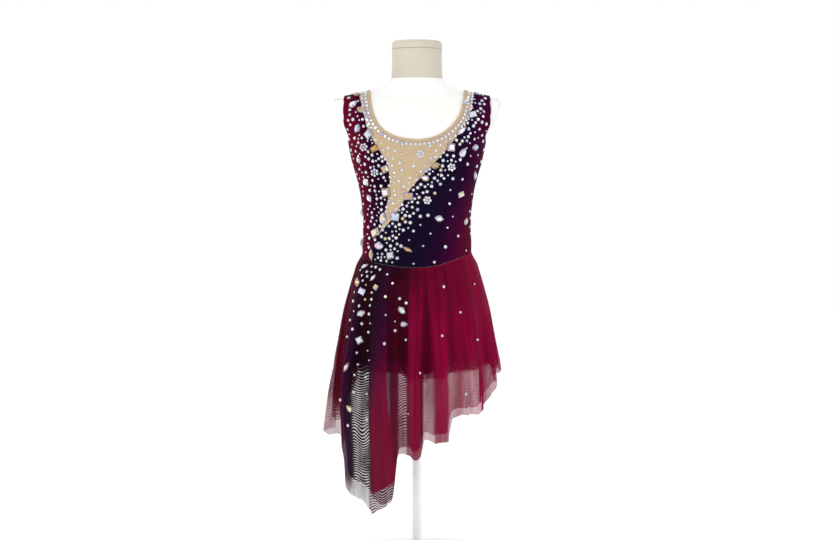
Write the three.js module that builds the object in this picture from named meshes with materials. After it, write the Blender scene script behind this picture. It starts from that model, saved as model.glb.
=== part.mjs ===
// Girl's figure skating dress on a limbless dress form with its stand.
// Millimetres, +Z up, front of the dress towards -Y, wearer's right at -X.
// The origin is on the floor at the centre of the stand's base.
//
// The form is a stack of squared ellipses, each with its own half width, front
// depth and back depth. Every panel of cloth is a wall that follows the form's
// surface, moved out along its normal. The skirt hangs from the waist seam as
// three layers on a flaring ellipse with a table of uneven folds.

import * as THREE from 'three';

// ---------------------------------------------------------------- sizes (mm)
const FORM_IN = 1.8;         // the form stands this far inside the fitting surface
const GAP_FORM = 0.9;        // cloth to the fitting surface
const CLOTH = 1.2;           // bodice cloth wall
const MESH = 1.0;            // briefs and skirt wall
const SEAM = 0.42;           // half of the gap at a seam that runs down
const SEAM_WAIST = 0.35;     // half of the gap at the waist seam
const BINDING_WIDTH = 6.0;
const BINDING_LIFT = 3.1;    // underside of the neck binding above the form
const FORM_BOTTOM = 340;
const NECK_BASE = 896;
const NECK_SEAM = 952;
const NECK_TOP = 968;
const BASE_RADIUS = 150;
const BASE_HEIGHT = 10;
const POLE_RADIUS = 9;
const COLLAR_RADIUS = 22;
const COLLAR_HEIGHT = 20;
const PLATE_THICK = 4;
const ARM_PLANE = { x0: 139, z0: 795, slope: 0.309 };   // flat end of the arm stub

// height, half width, front depth, back depth, squareness
const FORM = [
  { z: 340, a: 105, front: 78, back: 86, n: 2.2 },
  { z: 342.5, a: 111, front: 82.5, back: 91, n: 2.2 },
  { z: 350, a: 115.5, front: 86, back: 95.5, n: 2.2 },
  { z: 370, a: 119.5, front: 88.5, back: 100, n: 2.25 },
  { z: 400, a: 123, front: 90.5, back: 104, n: 2.25 },
  { z: 440, a: 124.5, front: 91, back: 105.5, n: 2.25 },
  { z: 480, a: 120.3, front: 89, back: 101.5, n: 2.25 },
  { z: 520, a: 111, front: 86, back: 93.5, n: 2.25 },
  { z: 550, a: 104, front: 82.5, back: 86, n: 2.25 },
  { z: 568, a: 101.2, front: 81.5, back: 82.5, n: 2.25 },
  { z: 602, a: 100.3, front: 82, back: 79, n: 2.25 },
  { z: 625, a: 99.8, front: 83, back: 78, n: 2.25 },
  { z: 647, a: 101.5, front: 85, back: 78, n: 2.25 },
  { z: 670, a: 104.5, front: 87.5, back: 79.5, n: 2.25 },
  { z: 693, a: 108.8, front: 90.5, back: 82, n: 2.25 },
  { z: 716, a: 115, front: 93.5, back: 85, n: 2.25 },
  { z: 738, a: 121.5, front: 95, back: 88, n: 2.3 },
  { z: 761, a: 126.5, front: 94.5, back: 91, n: 2.3 },
  { z: 784, a: 131.5, front: 91, back: 92, n: 2.35 },
  { z: 795, a: 140.5, front: 88, back: 91, n: 2.35 },
  { z: 807, a: 152, front: 83, back: 89, n: 2.4 },
  { z: 830, a: 170, front: 70, back: 80, n: 2.4 },
  { z: 843, a: 174, front: 60.5, back: 71, n: 2.45 },
  { z: 852, a: 168, front: 54, back: 63, n: 2.45 },
  { z: 858, a: 154, front: 49, back: 57, n: 2.4 },
  { z: 862, a: 138, front: 45.5, back: 52.5, n: 2.3 },
  { z: 865, a: 123, front: 43.5, back: 49.5, n: 2.2 },
  { z: 868.5, a: 106, front: 42.5, back: 47.5, n: 2.1 },
  { z: 873, a: 89, front: 42.5, back: 46.5, n: 2.05 },
  { z: 880, a: 72, front: 43.5, back: 46, n: 2 },
  { z: 887, a: 59.5, front: 45, back: 46, n: 2 },
  { z: 896, a: 50, front: 46, back: 46, n: 2 },
];

// waist seam: angle round the body (0 = front, 90 = wearer's left side), height
const WAIST = [
  { e: -180, z: 561 }, { e: -135, z: 564 }, { e: -90, z: 568 }, { e: -70, z: 557 },
  { e: -48, z: 547 }, { e: -27, z: 541 }, { e: -9, z: 537.3 }, { e: 8, z: 538 },
  { e: 22, z: 542 }, { e: 37, z: 550 }, { e: 58, z: 560 }, { e: 90, z: 569 },
  { e: 135, z: 564.5 }, { e: 180, z: 561 },
];

// edges of the nude inset and the scoop, seen from the front
const INSET_RIGHT_SIDE_OF_WEARER = [
  { x: -112, z: 867.2 }, { x: -109.5, z: 862 }, { x: -103.6, z: 843 }, { x: -95, z: 807.7 },
  { x: -82.7, z: 778.3 }, { x: -70.3, z: 757.4 }, { x: -55.2, z: 732 }, { x: -50.4, z: 699 },
  { x: -52.3, z: 674.7 }, { x: -58, z: 645.3 }, { x: -64.6, z: 616.8 }, { x: -70.3, z: 600.6 },
];
const INSET_LEFT_SIDE_OF_WEARER = [
  { x: 108, z: 868 }, { x: 107, z: 862 }, { x: 104, z: 848.6 }, { x: 96.9, z: 823.9 },
  { x: 81.7, z: 795.4 }, { x: 60.8, z: 765 }, { x: 30.4, z: 730.8 }, { x: 9.5, z: 708 },
  { x: -11.4, z: 685.2 }, { x: -33.3, z: 647.2 }, { x: -49.4, z: 624.4 }, { x: -70.3, z: 600.6 },
];
const SCOOP_FRONT = [
  { x: -89.3, z: 872.9 }, { x: -88.4, z: 862 }, { x: -85.5, z: 841 }, { x: -76, z: 812.5 },
  { x: -62.7, z: 795.4 }, { x: -41.8, z: 783 }, { x: -20.9, z: 777.6 }, { x: 0, z: 775.8 },
  { x: 20.9, z: 777.8 }, { x: 39.9, z: 784.4 }, { x: 57, z: 795.4 }, { x: 72.2, z: 810.6 },
  { x: 81.7, z: 827.7 }, { x: 87.4, z: 848.6 }, { x: 89, z: 862 }, { x: 89.6, z: 872.8 },
];
const SCOOP_BACK = [
  { x: -89.3, z: 872.9 }, { x: -88, z: 866 }, { x: -83, z: 856 }, { x: -66, z: 844 },
  { x: -35, z: 836 }, { x: 0, z: 834 }, { x: 35, z: 836 }, { x: 66, z: 844 },
  { x: 83, z: 856 }, { x: 88, z: 866 }, { x: 89.6, z: 872.8 },
];

// armhole edge: height, distance in front of and behind the side line
const ARMHOLE = [
  { z: 775, front: 0, back: 0 }, { z: 776.5, front: 11, back: 12 }, { z: 780, front: 21.5, back: 23.5 },
  { z: 787, front: 31.5, back: 34.5 }, { z: 800, front: 41.5, back: 45 }, { z: 812, front: 46.5, back: 51 },
  { z: 822, front: 49, back: 54 }, { z: 830, front: 47.2, back: 54.5 }, { z: 842, front: 43.5, back: 50 },
  { z: 850, front: 38.5, back: 43 }, { z: 857, front: 29, back: 32 },
  { z: 861, front: 16, back: 18 }, { z: 862.3, front: 0, back: 0 },
];

// leg line of the briefs: height, half width seen from the front
const LEG_LINE = [
  { z: 446, x: 124.5 }, { z: 443, x: 122.5 }, { z: 435, x: 116.5 }, { z: 420, x: 102.5 },
  { z: 400, x: 83 }, { z: 380, x: 60 }, { z: 362, x: 38 }, { z: 343.5, x: 25 },
];

// skirt, outer layer before its folds: height, half width, front depth, back
// depth, fold depth, distance to the next layer inside
const SKIRT = [
  { z: 575, a: 106.5, front: 87.2, back: 88.6, fold: 0.6, step: 1.4 },
  { z: 545, a: 113, front: 92, back: 96, fold: 2, step: 1.7 },
  { z: 500, a: 124.5, front: 101, back: 109.5, fold: 4, step: 2.2 },
  { z: 450, a: 134.3, front: 110, back: 117.5, fold: 7, step: 2.6 },
  { z: 400, a: 138.5, front: 115, back: 121, fold: 12, step: 3.2 },
  { z: 350, a: 141.5, front: 119, back: 125, fold: 18, step: 4.2 },
  { z: 300, a: 143, front: 122, back: 128, fold: 20, step: 5 },
  { z: 200, a: 141, front: 124, back: 130, fold: 18, step: 5 },
  { z: 60, a: 138, front: 125, back: 131, fold: 16, step: 5 },
];

// folds: angle, height of the fold (0 valley, 1 crest), extra flare below 350
const FOLDS = [
  { e: -180, w: 0.1, flare: 0 }, { e: -166, w: 0.9, flare: 0 }, { e: -152, w: 0.15, flare: 0 },
  { e: -137, w: 1.0, flare: 0.03 }, { e: -122, w: 0.05, flare: 0 }, { e: -106, w: 0.95, flare: 0.08 },
  { e: -95, w: 0.35, flare: 0.06 }, { e: -84, w: 1.05, flare: 0.15 }, { e: -71, w: 0.25, flare: 0.02 },
  { e: -56, w: 1.05, flare: 0 }, { e: -42, w: 0.0, flare: 0 }, { e: -27, w: 1.0, flare: 0 },
  { e: -13, w: 0.0, flare: 0 }, { e: -2, w: 0.9, flare: 0 }, { e: 8, w: 0.1, flare: 0 },
  { e: 17, w: 0.85, flare: 0 }, { e: 29, w: 0.05, flare: 0 }, { e: 45, w: 1.0, flare: 0 },
  { e: 57, w: 0.3, flare: 0 }, { e: 67, w: 0.8, flare: 0 }, { e: 76, w: 0.35, flare: 0 },
  { e: 87, w: 1.0, flare: 0 }, { e: 101, w: 0.1, flare: 0 }, { e: 115, w: 0.85, flare: 0 },
  { e: 128, w: 0.1, flare: 0 }, { e: 143, w: 1.0, flare: 0 }, { e: 156, w: 0.05, flare: 0 },
  { e: 168, w: 0.8, flare: 0 }, { e: 180, w: 0.1, flare: 0 },
];

// hems: angle, height of the long outer, the long under and the short layer
const HEM = [
  { e: -180, outer: 352, under: 358, short: 364 }, { e: -166, outer: 346, under: 353, short: 360 },
  { e: -152, outer: 350, under: 356, short: 364 }, { e: -137, outer: 338, under: 346, short: 356 },
  { e: -122, outer: 304, under: 318, short: 348 }, { e: -106, outer: 256, under: 276, short: 338 },
  { e: -95, outer: 236, under: 258, short: 336 }, { e: -84, outer: 228, under: 254, short: 326 },
  { e: -71, outer: 218, under: 244, short: 334 }, { e: -64, outer: 210, under: 236, short: 342 },
  { e: -58.5, outer: 128, under: 158, short: 345 }, { e: -52, outer: 114, under: 143, short: 350 },
  { e: -42, outer: 96, under: 128, short: 356 }, { e: -33, outer: 81, under: 108, short: 350 },
  { e: -26, outer: 91, under: 100, short: 344 }, { e: -18.5, outer: 106, under: 112, short: 344 },
  { e: -14, outer: 190, under: 200, short: 340 }, { e: -8, outer: 192, under: 206, short: 334 },
  { e: -2, outer: 182, under: 198, short: 330 }, { e: 2, outer: 188, under: 204, short: 330 },
  { e: 6, outer: 219, under: 232, short: 331 }, { e: 12, outer: 213, under: 228, short: 331 },
  { e: 17, outer: 212, under: 228, short: 330 }, { e: 23, outer: 218, under: 236, short: 336 },
  { e: 27, outer: 258, under: 272, short: 342 }, { e: 36, outer: 263, under: 276, short: 347 },
  { e: 45, outer: 266, under: 280, short: 346 }, { e: 57, outer: 282, under: 297, short: 354 },
  { e: 65, outer: 302, under: 316, short: 362 }, { e: 76, outer: 332, under: 343, short: 368 },
  { e: 87, outer: 343, under: 354, short: 372 }, { e: 101, outer: 346, under: 355, short: 370 },
  { e: 115, outer: 350, under: 357, short: 366 }, { e: 128, outer: 347, under: 354, short: 363 },
  { e: 143, outer: 344, under: 352, short: 360 }, { e: 156, outer: 348, under: 355, short: 364 },
  { e: 168, outer: 345, under: 352, short: 360 }, { e: 180, outer: 352, under: 358, short: 364 },
];

// ------------------------------------------------------- tables to functions
// monotone cubic through the rows of a table, by one of its columns
function curve(table, key, by) {
  const rows = [...table].sort((p, q) => p[by] - q[by]);
  const x = rows.map((r) => r[by]);
  const y = rows.map((r) => r[key]);
  const n = x.length;
  const d = [];
  const m = new Array(n).fill(0);
  for (let i = 0; i < n - 1; i++) d.push((y[i + 1] - y[i]) / (x[i + 1] - x[i]));
  m[0] = d[0];
  m[n - 1] = d[n - 2];
  for (let i = 1; i < n - 1; i++) {
    if (d[i - 1] * d[i] <= 0) m[i] = 0;
    else {
      const h0 = x[i] - x[i - 1];
      const h1 = x[i + 1] - x[i];
      m[i] = (3 * (h0 + h1)) / ((2 * h1 + h0) / d[i - 1] + (h1 + 2 * h0) / d[i]);
    }
  }
  return (v) => {
    if (v <= x[0]) return y[0];
    if (v >= x[n - 1]) return y[n - 1];
    let i = 0;
    while (v > x[i + 1]) i++;
    const h = x[i + 1] - x[i];
    const t = (v - x[i]) / h;
    const t2 = t * t;
    const t3 = t2 * t;
    return (2 * t3 - 3 * t2 + 1) * y[i] + (t3 - 2 * t2 + t) * h * m[i]
      + (-2 * t3 + 3 * t2) * y[i + 1] + (t3 - t2) * h * m[i + 1];
  };
}

const RAD = Math.PI / 180;
const fA = curve(FORM, 'a', 'z');
const fFront = curve(FORM, 'front', 'z');
const fBack = curve(FORM, 'back', 'z');
const fN = curve(FORM, 'n', 'z');
const waistZ = curve(WAIST, 'z', 'e');
const wrap = (e) => ((((e + 180) % 360) + 360) % 360) - 180;

// a squared ellipse: point at eccentric angle e (degrees)
function squared(a, front, back, n, e) {
  const s = Math.sin(e * RAD);
  const c = Math.cos(e * RAD);
  const b = c >= 0 ? front : back;
  const ux = a * s;
  const uy = b * c;
  const len = Math.hypot(ux, uy);
  const sx = ux / len;
  const sy = uy / len;
  const r = 1 / Math.pow(Math.pow(Math.abs(sx) / a, n) + Math.pow(Math.abs(sy) / b, n), 1 / n);
  return [r * sx, -r * sy];
}

// the form's surface
function formPoint(e, z, clip = true) {
  let [x, y] = squared(fA(z), fFront(z), fBack(z), fN(z), e);
  if (clip) {
    const limit = ARM_PLANE.x0 + (z - ARM_PLANE.z0) * ARM_PLANE.slope;
    if (z > ARM_PLANE.z0 && Math.abs(x) > limit) {
      y *= limit / Math.abs(x);
      x = Math.sign(x) * limit;
    }
  }
  return new THREE.Vector3(x, y, z);
}

// a point of a surface given as f(e, z), moved out along its normal
function lifted(f, e, z, lift) {
  const p = f(e, z);
  const de = f(e + 0.4, z).sub(f(e - 0.4, z));
  const dz = f(e, z + 0.4).sub(f(e, z - 0.4));
  const n = de.cross(dz).normalize();
  return p.addScaledVector(n, lift);
}
const bodice = (e, z) => formPoint(e, z, false);

// angle at which the ring at height z has a given x (front half)
function angleAtX(x, z) {
  const a = fA(z);
  if (Math.abs(x) >= a - 0.02) return Math.sign(x) * 90;
  let lo = -90;
  let hi = 90;
  for (let i = 0; i < 44; i++) {
    const mid = (lo + hi) / 2;
    if (formPoint(mid, z, false).x < x) lo = mid; else hi = mid;
  }
  return (lo + hi) / 2;
}
// angle (0..90 or 90..180) at which the ring is a given distance from the side line
function angleAtDepth(depth, z, behind) {
  if (depth <= 0.01) return 90;
  let lo = behind ? 90 : 20;
  let hi = behind ? 160 : 90;
  for (let i = 0; i < 44; i++) {
    const mid = (lo + hi) / 2;
    const y = formPoint(mid, z, false).y;
    const far = behind ? y > depth : -y < depth;
    if (far) hi = mid; else lo = mid;
  }
  return (lo + hi) / 2;
}

// ------------------------------------------------------------------- solids
function meshOf(name, points, faces, material) {
  const g = new THREE.BufferGeometry();
  const flat = new Float32Array(points.length * 3);
  points.forEach((p, i) => { flat[i * 3] = p.x; flat[i * 3 + 1] = p.y; flat[i * 3 + 2] = p.z; });
  g.setAttribute('position', new THREE.BufferAttribute(flat, 3));
  // faces are turned so that the volume is positive
  let volume = 0;
  for (const [i, j, k] of faces) {
    volume += points[i].dot(new THREE.Vector3().crossVectors(points[j], points[k]));
  }
  g.setIndex((volume < 0 ? faces.map(([i, j, k]) => [i, k, j]) : faces).flat());
  g.computeVertexNormals();
  const m = new THREE.Mesh(g, material);
  m.name = name;
  return m;
}

// a wall between two grids of points, rows x columns, closed along its edges
function wall(name, outer, inner, material) {
  const rows = outer.length;
  const cols = outer[0].length;
  const points = [...outer.flat(), ...inner.flat()];
  const o = (r, c) => r * cols + c;
  const i = (r, c) => rows * cols + r * cols + c;
  const faces = [];
  for (let r = 0; r < rows - 1; r++) {
    for (let c = 0; c < cols - 1; c++) {
      faces.push([o(r, c), o(r, c + 1), o(r + 1, c + 1)], [o(r, c), o(r + 1, c + 1), o(r + 1, c)]);
      faces.push([i(r, c), i(r + 1, c + 1), i(r, c + 1)], [i(r, c), i(r + 1, c), i(r + 1, c + 1)]);
    }
  }
  for (let r = 0; r < rows - 1; r++) {
    faces.push([o(r, 0), o(r + 1, 0), i(r + 1, 0)], [o(r, 0), i(r + 1, 0), i(r, 0)]);
    const k = cols - 1;
    faces.push([o(r + 1, k), o(r, k), i(r, k)], [o(r + 1, k), i(r, k), i(r + 1, k)]);
  }
  for (let c = 0; c < cols - 1; c++) {
    faces.push([o(0, c + 1), o(0, c), i(0, c)], [o(0, c + 1), i(0, c), i(0, c + 1)]);
    const k = rows - 1;
    faces.push([o(k, c), o(k, c + 1), i(k, c + 1)], [o(k, c), i(k, c + 1), i(k, c)]);
  }
  return meshOf(name, points, faces, material);
}

// rings stacked into one solid with flat ends
function stack(name, rings, material) {
  const cols = rings[0].length;
  const points = rings.flat();
  const faces = [];
  for (let r = 0; r < rings.length - 1; r++) {
    for (let c = 0; c < cols; c++) {
      const d = (c + 1) % cols;
      faces.push([r * cols + c, r * cols + d, (r + 1) * cols + d]);
      faces.push([r * cols + c, (r + 1) * cols + d, (r + 1) * cols + c]);
    }
  }
  const middle = (ring) => ring.reduce((s, p) => s.add(p), new THREE.Vector3()).divideScalar(cols);
  const low = points.length;
  points.push(middle(rings[0]));
  const high = points.length;
  points.push(middle(rings[rings.length - 1]));
  const top = (rings.length - 1) * cols;
  for (let c = 0; c < cols; c++) {
    const d = (c + 1) % cols;
    faces.push([low, d, c], [high, top + c, top + d]);
  }
  return meshOf(name, points, faces, material);
}

// a panel on the body between two edges with the same number of rows
function panel(name, left, right, cols, material, bottom, top) {
  const rows = left.length;
  const grid = [];
  if (bottom) {
    left[0].z = bottom(left[0].e);
    right[0].z = bottom(right[0].e);
  }
  for (let r = 0; r < rows; r++) {
    const t = r / (rows - 1);
    const row = [];
    for (let c = 0; c <= cols; c++) {
      const f = c / cols;
      let e = left[r].e + (right[r].e - left[r].e) * f;
      let z = left[r].z + (right[r].z - left[r].z) * f;
      // the bottom edge bends the rows near it; a top edge shares the height out
      if (bottom && !top) {
        const k = Math.pow(1 - t, 3);
        const e0 = left[0].e + (right[0].e - left[0].e) * f;
        z += k * (bottom(e0) - (left[0].z + (right[0].z - left[0].z) * f));
      }
      if (top) {
        const k = Math.pow(t, 3);
        const at = top(f);
        e += k * (at.e - (left[rows - 1].e + (right[rows - 1].e - left[rows - 1].e) * f));
        const e0 = left[0].e + (right[0].e - left[0].e) * f;
        const share = (left[r].z - left[0].z) / (left[rows - 1].z - left[0].z);
        z = bottom(e0) + (at.z - bottom(e0)) * share;
      }
      row.push({ e, z });
    }
    grid.push(row);
  }
  const at = (lift) => grid.map((row) => row.map((q) => lifted(bodice, q.e, q.z, lift)));
  return wall(name, at(GAP_FORM + CLOTH), at(GAP_FORM), material);
}

// ---------------------------------------------------------------- materials
const mat = (color, roughness, metalness = 0) =>
  new THREE.MeshStandardMaterial({ color, roughness, metalness });
const wine = mat(0x8c1238, 0.8);
const navy = mat(0x2a1240, 0.8);
const nude = mat(0xc9aa86, 0.75);
const mesh = mat(0x8a0a48, 0.7);
const dark = mat(0x3a0a22, 0.75);
const formWhite = mat(0xf1efe9, 0.6);
const neckCream = mat(0xe6dfcc, 0.65);
const standWhite = mat(0xf0f0ee, 0.45, 0.1);

const dress = new THREE.Group();

// --------------------------------------------------------------------- form
const FORM_HEIGHTS = [340, 342.5, 350, 370, 400, 440, 480, 520, 550, 575, 602, 630, 660, 693,
  725, 761, 782, 797, 813, 830, 843, 852, 858, 862, 865, 868.5, 873, 880, 887, 896];
const FORM_SIDES = 40;
const ringOf = (f) => Array.from({ length: FORM_SIDES }, (_, i) => f((360 * i) / FORM_SIDES));
dress.add(stack('form_torso', FORM_HEIGHTS.map((z) => ringOf((e) => {
  const p = lifted((a, b) => formPoint(a, b), e, z, -FORM_IN);
  if (z < 700 || z > 890) p.z = z;
  return p;
})), formWhite));

const neckRings = [
  { z: NECK_BASE + 0.3, a: 48.6, b: 45.4 }, { z: 915, a: 47.6, b: 45 },
  { z: 935, a: 47.2, b: 45 }, { z: NECK_SEAM, a: 47.4, b: 45.2 },
];
const round = (list) => list.map((q) => ringOf((e) => {
  const [x, y] = squared(q.a, q.b, q.b, 2, e);
  return new THREE.Vector3(x, y, q.z);
}));
dress.add(stack('form_neck', round(neckRings), neckCream));
const capRings = [
  { z: NECK_SEAM + 0.4, a: 47.7, b: 45.5 }, { z: 961, a: 47, b: 44.8 },
  { z: 965.6, a: 45, b: 43 }, { z: NECK_TOP, a: 40.5, b: 38.5 },
];
dress.add(stack('form_neck_cap', round(capRings), neckCream));

// flat oval plates on the ends of the arm stubs
for (const [name, side] of [['form_arm_plate_right', -1], ['form_arm_plate_left', 1]]) {
  const oval = new THREE.Shape();
  oval.absellipse(0, 0, 27, 34, 0, Math.PI * 2, false, 0);
  const g = new THREE.ExtrudeGeometry(oval, { depth: PLATE_THICK, bevelEnabled: false, curveSegments: 14 });
  const m = new THREE.Mesh(g, formWhite);
  m.name = name;
  const tilt = Math.atan(ARM_PLANE.slope);
  const middle = 828;
  const x = ARM_PLANE.x0 + (middle - ARM_PLANE.z0) * ARM_PLANE.slope;
  // local z becomes the outward normal of the plate
  m.rotation.order = 'ZYX';
  m.rotation.y = side * (Math.PI / 2 + tilt);
  m.position.set(
    side * (x + (0.9 - FORM_IN) * Math.cos(tilt)), 2.5, middle - (0.9 - FORM_IN) * Math.sin(tilt),
  );
  dress.add(m);
}

// pole, collar and base
const lathe = (name, profile, sides, material) => {
  const g = new THREE.LatheGeometry(profile.map(([r, z]) => new THREE.Vector2(r, z)), sides);
  g.rotateX(Math.PI / 2);
  const m = new THREE.Mesh(g, material);
  m.name = name;
  return m;
};
dress.add(lathe('stand_base', [
  [0, 0], [BASE_RADIUS - 1, 0], [BASE_RADIUS, 1.2], [BASE_RADIUS, BASE_HEIGHT - 3],
  [BASE_RADIUS - 3, BASE_HEIGHT], [0, BASE_HEIGHT]], 56, standWhite));
dress.add(lathe('stand_pole', [
  [0, BASE_HEIGHT + 0.3], [POLE_RADIUS, BASE_HEIGHT + 0.3], [POLE_RADIUS, FORM_BOTTOM - 0.3],
  [0, FORM_BOTTOM - 0.3]], 24, standWhite));
dress.add(lathe('stand_collar', [
  [POLE_RADIUS + 0.4, FORM_BOTTOM - 0.3 - COLLAR_HEIGHT], [COLLAR_RADIUS - 2, FORM_BOTTOM - 0.3 - COLLAR_HEIGHT],
  [COLLAR_RADIUS, FORM_BOTTOM + 1.7 - COLLAR_HEIGHT], [COLLAR_RADIUS, FORM_BOTTOM - 0.3],
  [POLE_RADIUS + 0.4, FORM_BOTTOM - 0.3], [POLE_RADIUS + 0.4, FORM_BOTTOM - 0.3 - COLLAR_HEIGHT]],
24, standWhite));

// ------------------------------------------------------------------- bodice
// shared edges, so that neighbouring panels have the same corners
const EDGE_HEIGHTS = [1, 0.9975, 0.99, 0.969, 0.93, 0.87, 0.785, 0.685, 0.575, 0.46, 0.34, 0.23, 0.115, 0];
function edgeFromFront(table) {
  const xAt = curve(table, 'x', 'z');
  const z0 = table[table.length - 1].z;
  const z1 = table[0].z;
  return EDGE_HEIGHTS.map((t) => {
    const z = z0 + (z1 - z0) * t;
    return { x: xAt(z), z };
  });
}
const edgeR = edgeFromFront(INSET_RIGHT_SIDE_OF_WEARER);   // wearer's right, at -x
const edgeL = edgeFromFront(INSET_LEFT_SIDE_OF_WEARER);    // wearer's left, at +x
const SIDE_FRONT = 90 - 0.35;
const clampFront = (e) => Math.max(-SIDE_FRONT, Math.min(SIDE_FRONT, e));
// on the shoulder line the height follows from x
function shoulderHeight(x) {
  let lo = 852;
  let hi = 895;
  for (let i = 0; i < 44; i++) {
    const mid = (lo + hi) / 2;
    if (fA(mid) > Math.abs(x)) lo = mid; else hi = mid;
  }
  return (lo + hi) / 2;
}
function onFront(x, z) {
  if (z > 850 && Math.abs(x) >= Math.abs(formPoint(SIDE_FRONT, z, false).x)) {
    return { e: Math.sign(x) * SIDE_FRONT, z: shoulderHeight(x) };
  }
  return { e: clampFront(angleAtX(x, z)), z };
}
const toAngle = (q, dx) => onFront(q.x + dx, q.z);

// short seam from the tip of the inset to the waist
const waistMeet = { x: -88, z: waistZ(-59.5) };
const tip = edgeR[edgeR.length - 1];
const seamMiddle = { x: (tip.x + waistMeet.x) / 2 - 1, z: (tip.z + waistMeet.z) / 2 };

// outer edges: side seam from the waist to the armhole, then the armhole to the shoulder
function outerEdge(side, behind, heights) {
  const depth = curve(ARMHOLE, behind ? 'back' : 'front', 'z');
  return heights.map((z) => {
    const d = z < ARMHOLE[0].z ? 0 : depth(z);
    const e = angleAtDepth(d, z, behind);
    return { e: side * (behind ? Math.max(e, 180 - SIDE_FRONT) : Math.min(e, SIDE_FRONT)), z };
  });
}
const SIDE_HEIGHTS = [568, 585, 606, 634, 672, 724, 775, 779, 790, 808, 826, 842, 850, 857, 861, 862.3];
const bottomOf = (e) => waistZ(wrap(e)) + SEAM_WAIST;

const innerR = [waistMeet, seamMiddle, ...[...edgeR].reverse()].map((q) => toAngle(q, -SEAM));
dress.add(panel('bodice_front_right', outerEdge(-1, false, SIDE_HEIGHTS), innerR, 5, wine, bottomOf));

const innerL = [waistMeet, seamMiddle, ...[...edgeL].reverse()].map((q) => toAngle(q, SEAM));
dress.add(panel('bodice_front_left', innerL, outerEdge(1, false, SIDE_HEIGHTS), 12, navy, bottomOf));

// nude inset: columns run from the scoop down to the edges of the two panels
{
  const xs = curve(SCOOP_FRONT.map((q, i) => ({ ...q, i })), 'x', 'i');
  const zs = curve(SCOOP_FRONT.map((q, i) => ({ ...q, i })), 'z', 'i');
  const down = [
    ...edgeR.slice(0, -1).map((q) => ({ x: q.x + SEAM, z: q.z })),
    { x: tip.x + 0.7, z: tip.z + 1.6 },
    ...[...edgeL].slice(0, -1).reverse().map((q) => ({ x: q.x - SEAM, z: q.z })),
  ];
  const cols = down.length - 1;
  // places along the scoop's table, one for each column
  const steps = [0, 0.1, 0.25, 0.5, 0.85, 1.3, 2.0, 3.0, 4.3, 5.6, 6.7, 7.4, 7.8, 8.1,
    8.4, 8.8, 9.2, 9.7, 10.3, 11.0, 11.7, 12.4, 13.1, 13.7, 14.25, 14.7, 15];
  const rows = 5;
  const grid = [];
  for (let r = 0; r <= rows; r++) {
    const f = r / rows;
    const row = [];
    for (let c = 0; c <= cols; c++) {
      const x0 = xs(steps[c]);
      const z0 = zs(steps[c]);
      const top = onFront(x0, z0);
      const low = onFront(down[c].x, down[c].z);
      row.push({ e: top.e + (low.e - top.e) * f, z: top.z + (low.z - top.z) * f });
    }
    grid.push(row);
  }
  const at = (lift) => grid.map((row) => row.map((q) => lifted(bodice, q.e, q.z, lift)));
  dress.add(wall('bodice_inset', at(GAP_FORM + CLOTH), at(GAP_FORM), nude));
}

// back: side seam to side seam, with the strap tops and the back scoop as its top edge
{
  const heights = [568, 612, 690, 775, 780, 792, 812, 834, 849, 859, 862.3];
  const left = outerEdge(1, true, heights);
  const right = outerEdge(-1, true, heights).map((q) => ({ e: q.e + 360, z: q.z }));
  const seam = 180 - SIDE_FRONT;
  const neckPoints = SCOOP_BACK.map((q) => {
    // the same ring solved on the back half
    let lo = seam;
    let hi = 180;
    const x = Math.abs(q.x);
    if (x >= fA(q.z) - 0.3) return { e: q.x >= 0 ? seam : 360 - seam, z: q.z };
    for (let i = 0; i < 44; i++) {
      const mid = (lo + hi) / 2;
      if (formPoint(mid, q.z, false).x > x) lo = mid; else hi = mid;
    }
    const e = (lo + hi) / 2;
    return { e: q.x >= 0 ? e : 360 - e, z: q.z };
  }).reverse();                                        // from +x to -x
  const topPath = [
    left[left.length - 1], { e: seam, z: 865 }, { e: seam, z: 868.5 }, ...neckPoints,
    { e: 360 - seam, z: 868.5 }, { e: 360 - seam, z: 865 }, right[right.length - 1],
  ].map((q, i) => ({ ...q, i }));
  const te = curve(topPath, 'e', 'i');
  const tz = curve(topPath, 'z', 'i');
  const cols = 24;
  // columns of the top edge in place of an even spacing
  const TOP = [0, 1, 2, 3, 3.6, 4.2, 4.8, 5.4, 6.0, 6.5, 7.0, 7.5, 8.0];
  const topIndex = [...TOP, ...[...TOP].slice(0, -1).reverse().map((v) => 16 - v)];
  const top = (f) => {
    const p = f * cols;
    const k = Math.min(cols - 1, Math.floor(p + 1e-9));
    const v = topIndex[k] + (topIndex[k + 1] - topIndex[k]) * (p - k);
    return { e: te(v), z: tz(v) };
  };
  dress.add(panel('bodice_back', left, right, cols, wine, bottomOf, top));
}

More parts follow.
